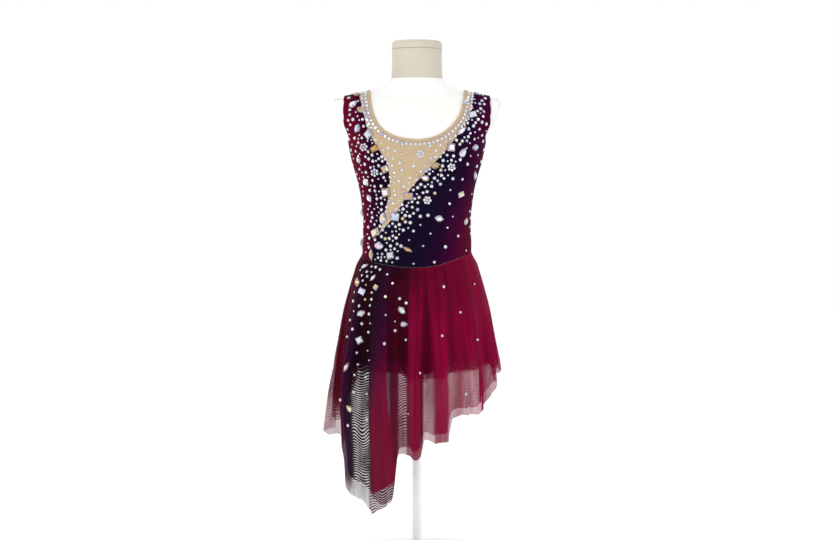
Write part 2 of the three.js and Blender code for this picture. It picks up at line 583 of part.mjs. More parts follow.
// binding round the neck edge, a flat band on the panels
{
  const frontX = curve(SCOOP_FRONT.map((q, i) => ({ ...q, i })), 'x', 'i');
  const frontZ = curve(SCOOP_FRONT.map((q, i) => ({ ...q, i })), 'z', 'i');
  const backX = curve(SCOOP_BACK.map((q, i) => ({ ...q, i })), 'x', 'i');
  const backZ = curve(SCOOP_BACK.map((q, i) => ({ ...q, i })), 'z', 'i');
  const backAngle = (x, z) => {
    const w = Math.abs(x);
    if (w >= fA(z) - 0.02) return x >= 0 ? 90 : 270;
    let lo = 90;
    let hi = 180;
    for (let i = 0; i < 44; i++) {
      const mid = (lo + hi) / 2;
      if (formPoint(mid, z, false).x > w) lo = mid; else hi = mid;
    }
    return x >= 0 ? (lo + hi) / 2 : 360 - (lo + hi) / 2;
  };
  const path = [];
  const FRONT_STEPS = [0, 0.25, 0.5, 0.75, 1, 1.35, 1.7, 2, 2.5, 3, 3.5, 4, 4.5, 5, 5.5, 6, 6.5, 7,
    7.5, 8, 8.5, 9, 9.5, 10, 10.5, 11, 11.5, 12, 12.5, 13, 13.35, 13.7, 14, 14.25, 14.5, 14.75];
  for (const s of FRONT_STEPS) {
    const z = frontZ(s);
    path.push({ e: angleAtX(frontX(s), z), z });
  }
  const BACK_STEPS = [10, 9.75, 9.5, 9.25, 9, 8.65, 8.3, 8, 7.5, 7, 6.5, 6, 5.5, 5, 4.5, 4, 3.5, 3, 2.5, 2,
    1.7, 1.35, 1, 0.75, 0.5, 0.25];
  for (const s of BACK_STEPS) {
    const z = backZ(s);
    path.push({ e: backAngle(backX(s), z), z });
  }
  const count = path.length;
  // nearest point of the surface to a given place
  const settle = (target, start) => {
    let { e, z } = start;
    for (let i = 0; i < 12; i++) {
      const p = bodice(e, z);
      const pe = bodice(e + 0.2, z).sub(bodice(e - 0.2, z)).divideScalar(0.4);
      const pz = bodice(e, z + 0.2).sub(bodice(e, z - 0.2)).divideScalar(0.4);
      const d = target.clone().sub(p);
      const a11 = pe.dot(pe);
      const a12 = pe.dot(pz);
      const a22 = pz.dot(pz);
      const b1 = pe.dot(d);
      const b2 = pz.dot(d);
      const det = a11 * a22 - a12 * a12;
      if (Math.abs(det) < 1e-9) break;
      e += Math.max(-4, Math.min(4, (a22 * b1 - a12 * b2) / det));
      z += Math.max(-3, Math.min(3, (a11 * b2 - a12 * b1) / det));
    }
    return { e, z };
  };
  const edge = path.map((q) => bodice(q.e, q.z));
  const away = path.map((q, i) => {
    const t = edge[(i + 1) % count].clone().sub(edge[(i + count - 1) % count]).normalize();
    const n = lifted(bodice, q.e, q.z, 1).sub(bodice(q.e, q.z)).normalize();
    const side = new THREE.Vector3().crossVectors(n, t).normalize();
    const neck = new THREE.Vector3(0, 0, 930);
    if (side.dot(edge[i].clone().sub(neck)) < 0) side.negate();
    return settle(edge[i].clone().addScaledVector(side, BINDING_WIDTH), q);
  });
  const ring = (list, lift) => list.map((q) => lifted(bodice, q.e, q.z, lift));
  const low = BINDING_LIFT;
  const high = BINDING_LIFT + 1.0;
  const four = [ring(path, low), ring(path, high), ring(away, high), ring(away, low)];
  const points = four.flat();
  const faces = [];
  for (let k = 0; k < 4; k++) {
    const m = (k + 1) % 4;
    for (let i = 0; i < count; i++) {
      const j = (i + 1) % count;
      faces.push([k * count + i, k * count + j, m * count + j], [k * count + i, m * count + j, m * count + i]);
    }
  }
  dress.add(meshOf('neck_binding', points, faces, nude));
}

// ------------------------------------------------------------------- briefs
// front and back; the crotch ends turn under the form and stop at the collar
for (const [name, behind] of [['briefs_front', false], ['briefs_back', true]]) {
  const legX = curve(LEG_LINE, 'x', 'z');
  const heights = [null, 500, 446, 443, 435, 420, 400, 380, 360, 343.5];
  const cols = 14;
  const rowsOut = [];
  const rowsIn = [];
  const mid = behind ? 180 : 0;
  const place = (e, z, lift) => lifted((p, q) => formPoint(p, q, false), e, z, lift);
  for (const h of heights) {
    const outRow = [];
    const inRow = [];
    const ref = h ?? 537;
    let half = SIDE_FRONT;
    if (ref < 446) half = Math.min(SIDE_FRONT, angleAtX(legX(ref), ref));
    for (let c = 0; c <= cols; c++) {
      const e = mid + half * (-1 + (2 * c) / cols);
      const z = h ?? waistZ(wrap(e)) - SEAM_WAIST;
      outRow.push(place(e, z, GAP_FORM + MESH));
      inRow.push(place(e, z, GAP_FORM));
    }
    rowsOut.push(outRow);
    rowsIn.push(inRow);
  }
  // under the form
  const halfWidth = 25;
  const start = behind ? 88.5 : -80;
  const end = behind ? 28 : -28;
  for (const f of [0, 0.5, 1]) {
    const y = start + (end - start) * f;
    const outRow = [];
    const inRow = [];
    for (let c = 0; c <= cols; c++) {
      const x = (behind ? -1 : 1) * halfWidth * (-1 + (2 * c) / cols);
      outRow.push(new THREE.Vector3(x, y, FORM_BOTTOM - GAP_FORM - MESH));
      inRow.push(new THREE.Vector3(x, y, FORM_BOTTOM - GAP_FORM));
    }
    rowsOut.push(outRow);
    rowsIn.push(inRow);
  }
  dress.add(wall(name, rowsOut, rowsIn, dark));
}

// -------------------------------------------------------------------- skirt
const sA = curve(SKIRT, 'a', 'z');
const sFront = curve(SKIRT, 'front', 'z');
const sBack = curve(SKIRT, 'back', 'z');
const sFold = curve(SKIRT, 'fold', 'z');
const sStep = curve(SKIRT, 'step', 'z');

// folds swell and fade evenly between one row of the table and the next
function foldAt(e, key) {
  const v = wrap(e);
  let i = 0;
  while (i < FOLDS.length - 2 && v > FOLDS[i + 1].e) i++;
  const t = (v - FOLDS[i].e) / (FOLDS[i + 1].e - FOLDS[i].e);
  const s = 0.5 - 0.5 * Math.cos(Math.PI * Math.min(1, Math.max(0, t)));
  return FOLDS[i][key] + (FOLDS[i + 1][key] - FOLDS[i][key]) * s;
}
function skirtPoint(e, z, layer) {
  const out = sFold(z) * foldAt(e, 'w') + foldAt(e, 'flare') * Math.max(0, 350 - z) * (layer ? 0.35 : 1)
    - layer * sStep(z);
  const [x, y] = squared(sA(z) + out, sFront(z) + out, sBack(z) + out, 2.1, e);
  return new THREE.Vector3(x, y, z);
}
const hemOf = { outer: curve(HEM, 'outer', 'e'), under: curve(HEM, 'under', 'e'), short: curve(HEM, 'short', 'e') };

// columns stand on the crests, the valleys and between them
function foldAngles(from, to, extra, parts) {
  const marks = FOLDS.map((q) => q.e).filter((e) => e > from + 2 && e < to - 2);
  const list = [from, ...marks, to];
  const out = [];
  for (let i = 0; i < list.length - 1; i++) {
    for (let k = 0; k < parts; k++) out.push(list[i] + ((list[i + 1] - list[i]) * k) / parts);
  }
  out.push(to);
  for (const e of extra) if (e > from && e < to) out.push(e);
  return [...new Set(out)].sort((p, q) => p - q)
    .filter((e, i, all) => i === 0 || i === all.length - 1 || (e - all[i - 1] > 0.9 && all[all.length - 1] - e > 0.9));
}
const FRONT_EXTRA = [-64, -60, -58, -18.5, -14.5, 3, 5.5, 23.5, 26.5];
const skirtPieces = [
  { name: 'skirt_outer', key: 'outer', layer: 0, rows: 6, parts: 2, extra: FRONT_EXTRA },
  { name: 'skirt_under', key: 'under', layer: 1, rows: 6, parts: 2, extra: [-64, -58, -18.5, -14.5] },
  { name: 'skirt_short', key: 'short', layer: 2, rows: 4, parts: 2, extra: [] },
];
for (const piece of skirtPieces) {
  for (const behind of [false, true]) {
    let angles;
    if (!behind) angles = foldAngles(-SIDE_FRONT, SIDE_FRONT, piece.extra, piece.parts);
    else {
      // the back runs from the wearer's left side round to the right side
      const a = foldAngles(180 - SIDE_FRONT, 180, [], piece.parts);
      const b = foldAngles(-180, -(180 - SIDE_FRONT), [], piece.parts).map((e) => e + 360);
      angles = [...a, ...b.slice(1)];
    }
    const outRows = [];
    const inRows = [];
    for (let r = 0; r <= piece.rows; r++) {
      const outRow = [];
      const inRow = [];
      for (const e of angles) {
        const z0 = waistZ(wrap(e)) - SEAM_WAIST;
        const hem = hemOf[piece.key](wrap(e));
        const levels = piece.layer === 2 ? [z0, 520, 470, 420, hem] : [z0, 520, 470, 420, 378];
        const rest = piece.rows - 4;
        const z = r <= 4 ? levels[r] : 378 + (hem - 378) * ((r - 4) / rest) ** 2;
        const f = (p, q) => skirtPoint(p, q, piece.layer);
        outRow.push(lifted(f, e, z, MESH / 2));
        inRow.push(lifted(f, e, z, -MESH / 2));
      }
      outRows.push(outRow);
      inRows.push(inRow);
    }
    dress.add(wall(`${piece.name}_${behind ? 'back' : 'front'}`, outRows, inRows, mesh));
  }
}

export default dress;
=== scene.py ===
# Looks of a girl's figure skating dress on a limbless dress form.
# Sizes in this file are millimetres until a mesh is made; Blender's are metres.
# Front of the dress towards -Y, wearer's right at -X, +Z up.
import math
import random

import bpy
import numpy as np
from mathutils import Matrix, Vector


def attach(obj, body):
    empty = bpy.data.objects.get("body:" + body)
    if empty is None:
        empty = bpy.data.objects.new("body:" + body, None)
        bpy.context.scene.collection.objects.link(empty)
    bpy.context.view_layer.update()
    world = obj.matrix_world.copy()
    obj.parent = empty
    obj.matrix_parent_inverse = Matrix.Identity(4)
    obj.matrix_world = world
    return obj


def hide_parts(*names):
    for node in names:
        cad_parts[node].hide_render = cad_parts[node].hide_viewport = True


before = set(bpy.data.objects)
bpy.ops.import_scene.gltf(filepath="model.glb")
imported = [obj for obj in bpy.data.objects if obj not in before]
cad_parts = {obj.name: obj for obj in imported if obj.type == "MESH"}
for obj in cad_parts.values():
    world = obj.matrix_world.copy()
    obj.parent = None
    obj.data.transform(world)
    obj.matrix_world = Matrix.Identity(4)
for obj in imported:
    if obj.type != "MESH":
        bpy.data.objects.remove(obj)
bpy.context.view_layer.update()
scene = bpy.context.scene
MM = 0.001

# ------------------------------------------------------------------ the cut
FORM_IN, GAP, CLOTH = 1.8, 0.9, 0.7
ARM_X0, ARM_Z0, ARM_SLOPE = 139.0, 795.0, 0.309
# height, half width, front depth, back depth, squareness
FORM = [
    (340, 105, 78, 86, 2.2), (342.5, 111, 82.5, 91, 2.2), (350, 115.5, 86, 95.5, 2.2),
    (370, 119.5, 88.5, 100, 2.25), (400, 123, 90.5, 104, 2.25), (440, 124.5, 91, 105.5, 2.25),
    (480, 120.3, 89, 101.5, 2.25), (520, 111, 86, 93.5, 2.25), (550, 104, 82.5, 86, 2.25),
    (568, 101.2, 81.5, 82.5, 2.25), (602, 100.3, 82, 79, 2.25), (625, 99.8, 83, 78, 2.25),
    (647, 101.5, 85, 78, 2.25), (670, 104.5, 87.5, 79.5, 2.25), (693, 108.8, 90.5, 82, 2.25),
    (716, 115, 93.5, 85, 2.25), (738, 121.5, 95, 88, 2.3), (761, 126.5, 94.5, 91, 2.3),
    (784, 131.5, 91, 92, 2.35), (795, 140.5, 88, 91, 2.35), (807, 152, 83, 89, 2.4),
    (830, 170, 70, 80, 2.4), (843, 174, 60.5, 71, 2.45), (852, 168, 54, 63, 2.45),
    (858, 154, 49, 57, 2.4), (862, 138, 45.5, 52.5, 2.3), (865, 123, 43.5, 49.5, 2.2),
    (868.5, 106, 42.5, 47.5, 2.1), (873, 89, 42.5, 46.5, 2.05), (880, 72, 43.5, 46, 2),
    (887, 59.5, 45, 46, 2), (896, 50, 46, 46, 2),
]
# angle round the body, height of the waist seam
WAIST = [(-180, 561), (-135, 564), (-90, 568), (-70, 557), (-48, 547), (-27, 541), (-9, 537.3),
         (8, 538), (22, 542), (37, 550), (58, 560), (90, 569), (135, 564.5), (180, 561)]
# x, height, seen from the front
INSET_R = [(-112, 867.2), (-109.5, 862), (-103.6, 843), (-95, 807.7), (-82.7, 778.3),
           (-70.3, 757.4), (-55.2, 732), (-50.4, 699), (-52.3, 674.7), (-58, 645.3),
           (-64.6, 616.8), (-70.3, 600.6)]
INSET_L = [(108, 868), (107, 862), (104, 848.6), (96.9, 823.9), (81.7, 795.4), (60.8, 765),
           (30.4, 730.8), (9.5, 708), (-11.4, 685.2), (-33.3, 647.2), (-49.4, 624.4),
           (-70.3, 600.6)]
SCOOP_F = [(-89.3, 872.9), (-88.4, 862), (-85.5, 841), (-76, 812.5), (-62.7, 795.4),
           (-41.8, 783), (-20.9, 777.6), (0, 775.8), (20.9, 777.8), (39.9, 784.4), (57, 795.4),
           (72.2, 810.6), (81.7, 827.7), (87.4, 848.6), (89, 862), (89.6, 872.8)]
SCOOP_B = [(-89.3, 872.9), (-88, 866), (-83, 856), (-66, 844), (-35, 836), (0, 834), (35, 836),
           (66, 844), (83, 856), (88, 866), (89.6, 872.8)]
# height, reach in front of and behind the side line
ARMHOLE = [(775, 0, 0), (776.5, 11, 12), (780, 21.5, 23.5), (787, 31.5, 34.5), (800, 41.5, 45), (812, 46.5, 51),
           (822, 49, 54), (830, 47.2, 54.5), (842, 43.5, 50), (850, 38.5, 43), (857, 29, 32), (861, 16, 18),
           (862.3, 0, 0)]
# height, half width of the briefs at the leg line
LEG = [(446, 124.5), (443, 122.5), (435, 116.5), (420, 102.5), (400, 83), (380, 60), (362, 38),
       (343.5, 25)]
# height, half width, front depth, back depth, fold depth, distance to the next layer
SKIRT = [(575, 106.5, 87.2, 88.6, 0.6, 1.4), (545, 113, 92, 96, 2, 1.7),
         (500, 124.5, 101, 109.5, 4, 2.2), (450, 134.3, 110, 117.5, 7, 2.6),
         (400, 138.5, 115, 121, 12, 3.2), (350, 141.5, 119, 125, 18, 4.2),
         (300, 143, 122, 128, 20, 5), (200, 141, 124, 130, 18, 5), (60, 138, 125, 131, 16, 5)]
# angle, height of the fold, flare below 350
FOLDS = [(-180, 0.1, 0), (-166, 0.9, 0), (-152, 0.15, 0), (-137, 1.0, 0.03), (-122, 0.05, 0),
         (-106, 0.95, 0.08), (-95, 0.35, 0.06), (-84, 1.05, 0.15), (-71, 0.25, 0.02),
         (-56, 1.05, 0), (-42, 0.0, 0), (-27, 1.0, 0), (-13, 0.0, 0), (-2, 0.9, 0), (8, 0.1, 0),
         (17, 0.85, 0), (29, 0.05, 0), (45, 1.0, 0), (57, 0.3, 0), (67, 0.8, 0), (76, 0.35, 0),
         (87, 1.0, 0), (101, 0.1, 0), (115, 0.85, 0), (128, 0.1, 0), (143, 1.0, 0),
         (156, 0.05, 0), (168, 0.8, 0), (180, 0.1, 0)]
# angle, hems of the outer, the under and the short layer
HEM = [(-180, 352, 358, 364), (-166, 346, 353, 360), (-152, 350, 356, 364), (-137, 338, 346, 356),
       (-122, 304, 318, 348), (-106, 256, 276, 338), (-95, 236, 258, 336), (-84, 228, 254, 326),
       (-71, 218, 244, 334), (-64, 210, 236, 342), (-58.5, 128, 158, 345), (-52, 114, 143, 350),
       (-42, 96, 128, 356), (-33, 81, 108, 350), (-26, 91, 100, 344), (-18.5, 106, 112, 344),
       (-14, 190, 200, 340), (-8, 192, 206, 334), (-2, 182, 198, 330), (2, 188, 204, 330),
       (6, 219, 232, 331), (12, 213, 228, 331), (17, 212, 228, 330), (23, 218, 236, 336),
       (27, 258, 272, 342), (36, 263, 276, 347), (45, 266, 280, 346), (57, 282, 297, 354),
       (65, 302, 316, 362), (76, 332, 343, 368), (87, 343, 354, 372), (101, 346, 355, 370),
       (115, 350, 357, 366), (128, 347, 354, 363), (143, 344, 352, 360), (156, 348, 355, 364),
       (168, 345, 352, 360), (180, 352, 358, 364)]
# angle, share of plies (0 one sheer layer, 1 gathered plies that hide what is behind)
PLIES = [(-180, 0.3), (-166, 0.75), (-152, 0.3), (-137, 0.8), (-122, 0.3), (-106, 0.6),
         (-95, 0.5), (-84, 0.45), (-75, 0.45), (-66, 0.55), (-61.5, 0.95), (-51.5, 0.95), (-49, 0.34),
         (-44, 0.3), (-36, 0.34), (-30, 0.4), (-20.5, 0.6), (-18.5, 0.95), (-15, 0.9),
         (-13.3, 0.3), (-8.2, 0.3), (-6.6, 0.85), (3.5, 0.85), (5.4, 0.25), (11.6, 0.25), (13.4, 0.85), (20.5, 0.85),
         (22.5, 0.3), (29, 0.35), (34, 0.5), (38, 0.2), (46, 0.3), (51, 0.8), (58, 0.75),
         (64, 0.35), (76, 0.3), (87, 0.45), (101, 0.3), (115, 0.7), (128, 0.3), (143, 0.8),
         (156, 0.3), (168, 0.7), (180, 0.3)]
# height, left and right side of the tail's broad fold
BROAD = [(560, -37.5, -27), (476, -36.5, -24.5), (400, -34.5, -22.5), (286, -34.5, -20), (153, -38, -16.5),
         (60, -38, -16)]
# angle, depth of the painted shade, its width, the side it lies on (1 towards the wearer's left)
CREASES = [(-71, 0.5, 5, 1), (-62, 0.55, 4, -1), (-35.5, 0.5, 3, -1), (-7, 0.8, 5, -1), (0.5, 0.45, 3.5, -1),
           (9, 0.65, 5, -1), (18, 0.5, 4, -1), (28, 0.65, 6, -1), (36, 0.3, 3, 1), (45, 0.4, 4, 1),
           (53, 0.35, 3, -1), (64, 0.5, 5, -1), (76, 0.4, 4, 1), (101, 0.5, 6, 1), (115, 0.3, 4, -1),
           (128, 0.5, 6, -1), (143, 0.3, 4, 1), (156, 0.5, 6, 1), (168, 0.3, 4, -1), (179, 0.5, 6, 1),
           (-166, 0.3, 4, 1), (-152, 0.5, 6, 1), (-137, 0.3, 4, -1), (-122, 0.5, 6, -1), (-102, 0.4, 5, 1)]
# angle, shade of the skirt (0 magenta wine, 0.5 plum, 1 navy)
SHADE = [(-180, 0.1), (-130, 0.1), (-100, 0.18), (-80, 0.25), (-68, 0.45), (-57, 0.72),
         (-50, 0.95), (-41, 1.0), (-36, 0.92), (-30, 0.66), (-22, 0.5), (-12, 0.3), (-3, 0.12),
         (15, 0.06), (40, 0.0), (90, 0.0), (130, 0.02), (180, 0.1)]


def curve(rows, col, by=0):
    """Monotone cubic through the rows of a table, one column by another."""
    rows = sorted(rows, key=lambda r: r[by])
    x = np.array([r[by] for r in rows], float)
    y = np.array([r[col] for r in rows], float)
    d = np.diff(y) / np.diff(x)
    m = np.zeros(len(x))
    m[0], m[-1] = d[0], d[-1]
    for i in range(1, len(x) - 1):
        if d[i - 1] * d[i] > 0:
            h0, h1 = x[i] - x[i - 1], x[i + 1] - x[i]
            m[i] = 3 * (h0 + h1) / ((2 * h1 + h0) / d[i - 1] + (h1 + 2 * h0) / d[i])

    def f(v):
        v = np.clip(np.asarray(v, float), x[0], x[-1])
        i = np.clip(np.searchsorted(x, v, side="right") - 1, 0, len(x) - 2)
        h = x[i + 1] - x[i]
        t = (v - x[i]) / h
        t2, t3 = t * t, t * t * t
        return ((2 * t3 - 3 * t2 + 1) * y[i] + (t3 - 2 * t2 + t) * h * m[i]
                + (-2 * t3 + 3 * t2) * y[i + 1] + (t3 - t2) * h * m[i + 1])

    return f


fA, fFront, fBack, fN = (curve(FORM, k) for k in (1, 2, 3, 4))
waist_z = curve(WAIST, 1)
sA, sFront, sBack, sFold, sStep = (curve(SKIRT, k) for k in (1, 2, 3, 4, 5))
hem_z = [curve(HEM, k) for k in (1, 2, 3)]
broad_left, broad_right = curve(BROAD, 1), curve(BROAD, 2)
plies_at = curve(PLIES, 1)
shade_at = curve(SHADE, 1)


def wrap(e):
    return (np.asarray(e, float) + 180.0) % 360.0 - 180.0


def smooth(a, b, v):
    t = np.clip((np.asarray(v, float) - a) / (b - a), 0, 1)
    return t * t * (3 - 2 * t)


def squared(a, front, back, n, e):
    s, c = np.sin(np.radians(e)), np.cos(np.radians(e))
    b = np.where(c >= 0, front, back)
    ux, uy = a * s, b * c
    ln = np.hypot(ux, uy)
    sx, sy = ux / ln, uy / ln
    r = 1 / ((np.abs(sx) / a) ** n + (np.abs(sy) / b) ** n) ** (1 / n)
    return r * sx, -r * sy


def form_point(e, z, clip=False):
    e, z = np.broadcast_arrays(np.asarray(e, float), np.asarray(z, float))
    x, y = squared(fA(z), fFront(z), fBack(z), fN(z), e)
    if clip:
        limit = ARM_X0 + (z - ARM_Z0) * ARM_SLOPE
        cut = (z > ARM_Z0) & (np.abs(x) > limit)
        k = np.where(cut, limit / np.maximum(np.abs(x), 1e-6), 1.0)
        x, y = x * k, y * k
    return np.stack([x, y, z], -1)


def normal_of(f, e, z, h=0.4):
    de = f(e + h, z) - f(e - h, z)
    dz = f(e, z + h) - f(e, z - h)
    n = np.cross(de, dz)
    return n / np.maximum(np.linalg.norm(n, axis=-1, keepdims=True), 1e-9)


def lifted(f, e, z, lift):
    e, z = np.broadcast_arrays(np.asarray(e, float), np.asarray(z, float))
    return f(e, z) + normal_of(f, e, z) * np.asarray(lift, float)[..., None]


def solve(g, lo, hi, rising=True):
    """Bisection on arrays: g(v) < 0 below the root when rising."""
    lo, hi = np.array(lo, float), np.array(hi, float)
    for _ in range(42):
        mid = (lo + hi) / 2
        low = g(mid) < 0 if rising else g(mid) > 0
        lo, hi = np.where(low, mid, lo), np.where(low, hi, mid)
    return (lo + hi) / 2


def shoulder_height(x):
    x = np.abs(np.asarray(x, float))
    return solve(lambda q: fA(q) - x, np.full(x.shape, 852.0), np.full(x.shape, 895.0), rising=False)


def on_front(x, z):
    """Angle and height of a place seen from the front; past the shoulder line it stays on it."""
    x, z = np.broadcast_arrays(np.asarray(x, float), np.asarray(z, float))
    e = solve(lambda q: form_point(q, z)[..., 0] - x, np.full(x.shape, -90.0), np.full(x.shape, 90.0))
    over = np.abs(x) >= fA(z) - 0.02
    e = np.where(over, np.sign(x) * 90.0, e)
    z = np.where(over & (z > 850), shoulder_height(x), z)
    return e, z


def on_back(x, z):
    x, z = np.broadcast_arrays(np.asarray(x, float), np.asarray(z, float))
    w = np.abs(x)
    e = solve(lambda q: form_point(q, z)[..., 0] - w, np.full(x.shape, 90.0), np.full(x.shape, 180.0), rising=False)
    e = np.where(w >= fA(z) - 0.02, 90.0, e)
    return np.where(x >= 0, e, 360.0 - e)


# ------------------------------------------------------------- mesh helpers
rng = np.random.default_rng(20791)


def add_object(name, verts, faces, attrs=None, smooth_shade=True, sharp=None):
    me = bpy.data.meshes.new(name)
    me.from_pydata((np.asarray(verts, float) * MM).tolist(), [], [list(map(int, f)) for f in faces])
    me.validate(clean_customdata=False)
    for key, values in (attrs or {}).items():
        a = me.attributes.new(key, "FLOAT", "POINT")
        a.data.foreach_set("value", np.asarray(values, np.float32).ravel())
    if smooth_shade:
        me.polygons.foreach_set("use_smooth", np.ones(len(me.polygons), bool))
        if sharp:
            me.set_sharp_from_angle(angle=math.radians(sharp))
    me.update()
    ob = bpy.data.objects.new(name, me)
    scene.collection.objects.link(ob)
    return ob


def grid_faces(rows, cols, start=0, flip=False):
    r, c = np.meshgrid(np.arange(rows - 1), np.arange(cols - 1), indexing="ij")
    a = start + r * cols + c
    f = np.stack([a, a + 1, a + cols + 1, a + cols], -1).reshape(-1, 4)
    return f[:, ::-1] if flip else f


def sheet_object(name, P, attrs=None):
    rows, cols = P.shape[:2]
    return add_object(name, P.reshape(-1, 3), grid_faces(rows, cols), attrs)


def wall_object(name, outer, inner, attrs=None, sharp=50):
    """A thin closed wall between two grids."""
    rows, cols = outer.shape[:2]
    n = rows * cols
    verts = np.concatenate([outer.reshape(-1, 3), inner.reshape(-1, 3)])
    faces = [grid_faces(rows, cols), grid_faces(rows, cols, n, flip=True)]
    rim = ([r * cols for r in range(rows - 1, -1, -1)] + list(range(1, cols))
           + [r * cols + cols - 1 for r in range(1, rows)]
           + [(rows - 1) * cols + c for c in range(cols - 2, 0, -1)])
    rim = np.array(rim)
    nxt = np.roll(rim, -1)
    faces.append(np.stack([rim, rim + n, nxt + n, nxt], -1))
    both = {k: np.concatenate([np.asarray(v).ravel()] * 2) for k, v in (attrs or {}).items()}
    return add_object(name, verts, np.concatenate(faces), both, sharp=sharp)


def area_of(P):
    """Area, greatest width and greatest length of a grid, in metres."""
    a, b, c, d = P[:-1, :-1], P[:-1, 1:], P[1:, 1:], P[1:, :-1]
    t = np.linalg.norm(np.cross(b - a, c - a), axis=-1) + np.linalg.norm(np.cross(c - a, d - a), axis=-1)
    across = np.linalg.norm(np.diff(P, axis=1), axis=-1).sum(1).max()
    down = np.linalg.norm(np.diff(P, axis=0), axis=-1).sum(0).max()
    return float(t.sum() / 2 * MM * MM), float(across * MM), float(down * MM)


def ripple(e, z, seed, waves, size):
    """Uneven small waves round and down the cloth."""
    g = np.random.default_rng(seed)
    total = 0
    for n, share in waves:
        p, q, k = g.uniform(0, 2 * np.pi), g.uniform(0.6, 1.4), g.uniform(0.002, 0.009)
        total = total + share * np.sin(n * np.radians(e) * q + p + k * z + 0.8 * np.sin(z * 0.011 + p))
    return total * size


AREAS = {}

# ---------------------------------------------------------------- materials
def lin(r, g, b):
    f = lambda v: v / 12.92 if v <= 0.04045 else ((v + 0.055) / 1.055) ** 2.4
    return (f(r / 255), f(g / 255), f(b / 255), 1.0)


class Mat:
    """Small builder for a node material."""

    def __init__(self, name):
        self.m = bpy.data.materials.new(name)
        self.m.use_nodes = True
        self.t = self.m.node_tree
        self.t.nodes.clear()
        self.out = self.t.nodes.new("ShaderNodeOutputMaterial")
        self.b = self.t.nodes.new("ShaderNodeBsdfPrincipled")
        self.t.links.new(self.b.outputs[0], self.out.inputs[0])
        self.coord = None

    def n(self, kind, **props):
        node = self.t.nodes.new("ShaderNode" + kind)
        for k, v in props.items():
            setattr(node, k, v)
        return node

    def link(self, a, b):
        self.t.links.new(a, b)

    def obj(self):
        if self.coord is None:
            self.coord = self.n("TexCoord")
        return self.coord.outputs["Object"]

    def attr(self, name):
        return self.n("Attribute", attribute_name=name).outputs["Fac"]

    def ramp(self, fac, stops, mode="EASE"):
        r = self.n("ValToRGB")
        r.color_ramp.interpolation = mode
        e = r.color_ramp.elements
        while len(e) < len(stops):
            e.new(0.5)
        for el, (p, c) in zip(e, stops):
            el.position, el.color = p, c
        self.link(fac, r.inputs[0])
        return r.outputs[0]

    def noise(self, scale, detail=3.0, rough=0.55, vector=None, distortion=0.0):
        k = self.n("TexNoise")
        k.inputs["Scale"].default_value = scale
        k.inputs["Detail"].default_value = detail
        k.inputs["Roughness"].default_value = rough
        k.inputs["Distortion"].default_value = distortion
        self.link(vector or self.obj(), k.inputs["Vector"])
        return k.outputs[0]

    def scaled(self, x, y, z, vector=None):
        k = self.n("Mapping")
        k.inputs["Scale"].default_value = (x, y, z)
        self.link(vector or self.obj(), k.inputs["Vector"])
        return k.outputs[0]

    def math(self, op, a, b=None, c=None, clamp=False):
        k = self.n("Math", operation=op, use_clamp=clamp)
        for i, v in enumerate((a, b, c)):
            if v is None:
                continue
            if isinstance(v, (int, float)):
                k.inputs[i].default_value = v
            else:
                self.link(v, k.inputs[i])
        return k.outputs[0]

    def fit(self, v, a, b, c, d):
        k = self.n("MapRange")
        for i, q in zip((1, 2, 3, 4), (a, b, c, d)):
            k.inputs[i].default_value = q
        self.link(v, k.inputs[0])
        return k.outputs[0]

    def mix(self, fac, a, b, how="MIX"):
        k = self.n("Mix", data_type="RGBA", blend_type=how)
        for i, v in ((0, fac), (6, a), (7, b)):
            if isinstance(v, (int, float)):
                k.inputs[i].default_value = v
            elif isinstance(v, tuple):
                k.inputs[i].default_value = v
            else:
                self.link(v, k.inputs[i])
        return k.outputs[2]

    def bump(self, height, strength, dist):
        k = self.n("Bump")
        k.inputs["Strength"].default_value = strength
        k.inputs["Distance"].default_value = dist
        self.link(height, k.inputs["Height"])
        self.link(k.outputs[0], self.b.inputs["Normal"])

    def set(self, **kw):
        for k, v in kw.items():
            s = self.b.inputs[k.replace("_", " ")]
            if isinstance(v, (int, float, tuple)):
                s.default_value = v
            else:
                self.link(v, s)
        return self


def knit(m, strength=0.25, dist=0.0003, scale=1400):
    """Fine knit of stretch cloth: courses across and wales down."""
    m.bump(m.noise(scale, 1.0, 0.5, m.scaled(1, 1, 1.6)), strength, dist)


WINE, PLUM, NAVY = lin(142, 16, 58), lin(84, 20, 84), lin(24, 14, 46)


def panel_material(name, stops, spread):
    m = Mat(name)
    s = m.attr("shade")
    wash = m.noise(14, 4, 0.6, m.scaled(1, 1, 0.55))
    s = m.math("ADD", s, m.fit(wash, 0.25, 0.75, -spread, spread), clamp=True)
    c = m.ramp(s, stops)
    fine = m.noise(220, 3, 0.6)
    c = m.mix(m.fit(fine, 0.3, 0.7, 0.0, 0.28), c, (0.0, 0.0, 0.0, 1.0))
    m.set(Base_Color=c, Roughness=0.75, Specular_IOR_Level=0.02, Sheen_Weight=0.01,
          Sheen_Roughness=0.4, Sheen_Tint=(0.9, 0.3, 0.5, 1.0))
    knit(m)
    return m.m


M_WINE = panel_material("bodice_wine", [(0.0, lin(104, 7, 37)), (0.45, lin(78, 5, 38)),
                                        (0.8, lin(47, 4, 35)), (1.0, lin(26, 5, 32))], 0.13)
M_NAVY = panel_material("bodice_navy", [(0.0, lin(88, 7, 44)), (0.28, lin(62, 5, 46)),
                                        (0.6, lin(34, 6, 42)), (1.0, lin(20, 12, 36))], 0.13)

m = Mat("nude_mesh")
m.set(Base_Color=m.mix(m.fit(m.noise(90, 4), 0.3, 0.7, 0, 1), lin(192, 168, 136), lin(198, 175, 143)),
      Roughness=0.8, Specular_IOR_Level=0.1, Sheen_Weight=0.05)
knit(m, 0.2)
M_NUDE = m.m

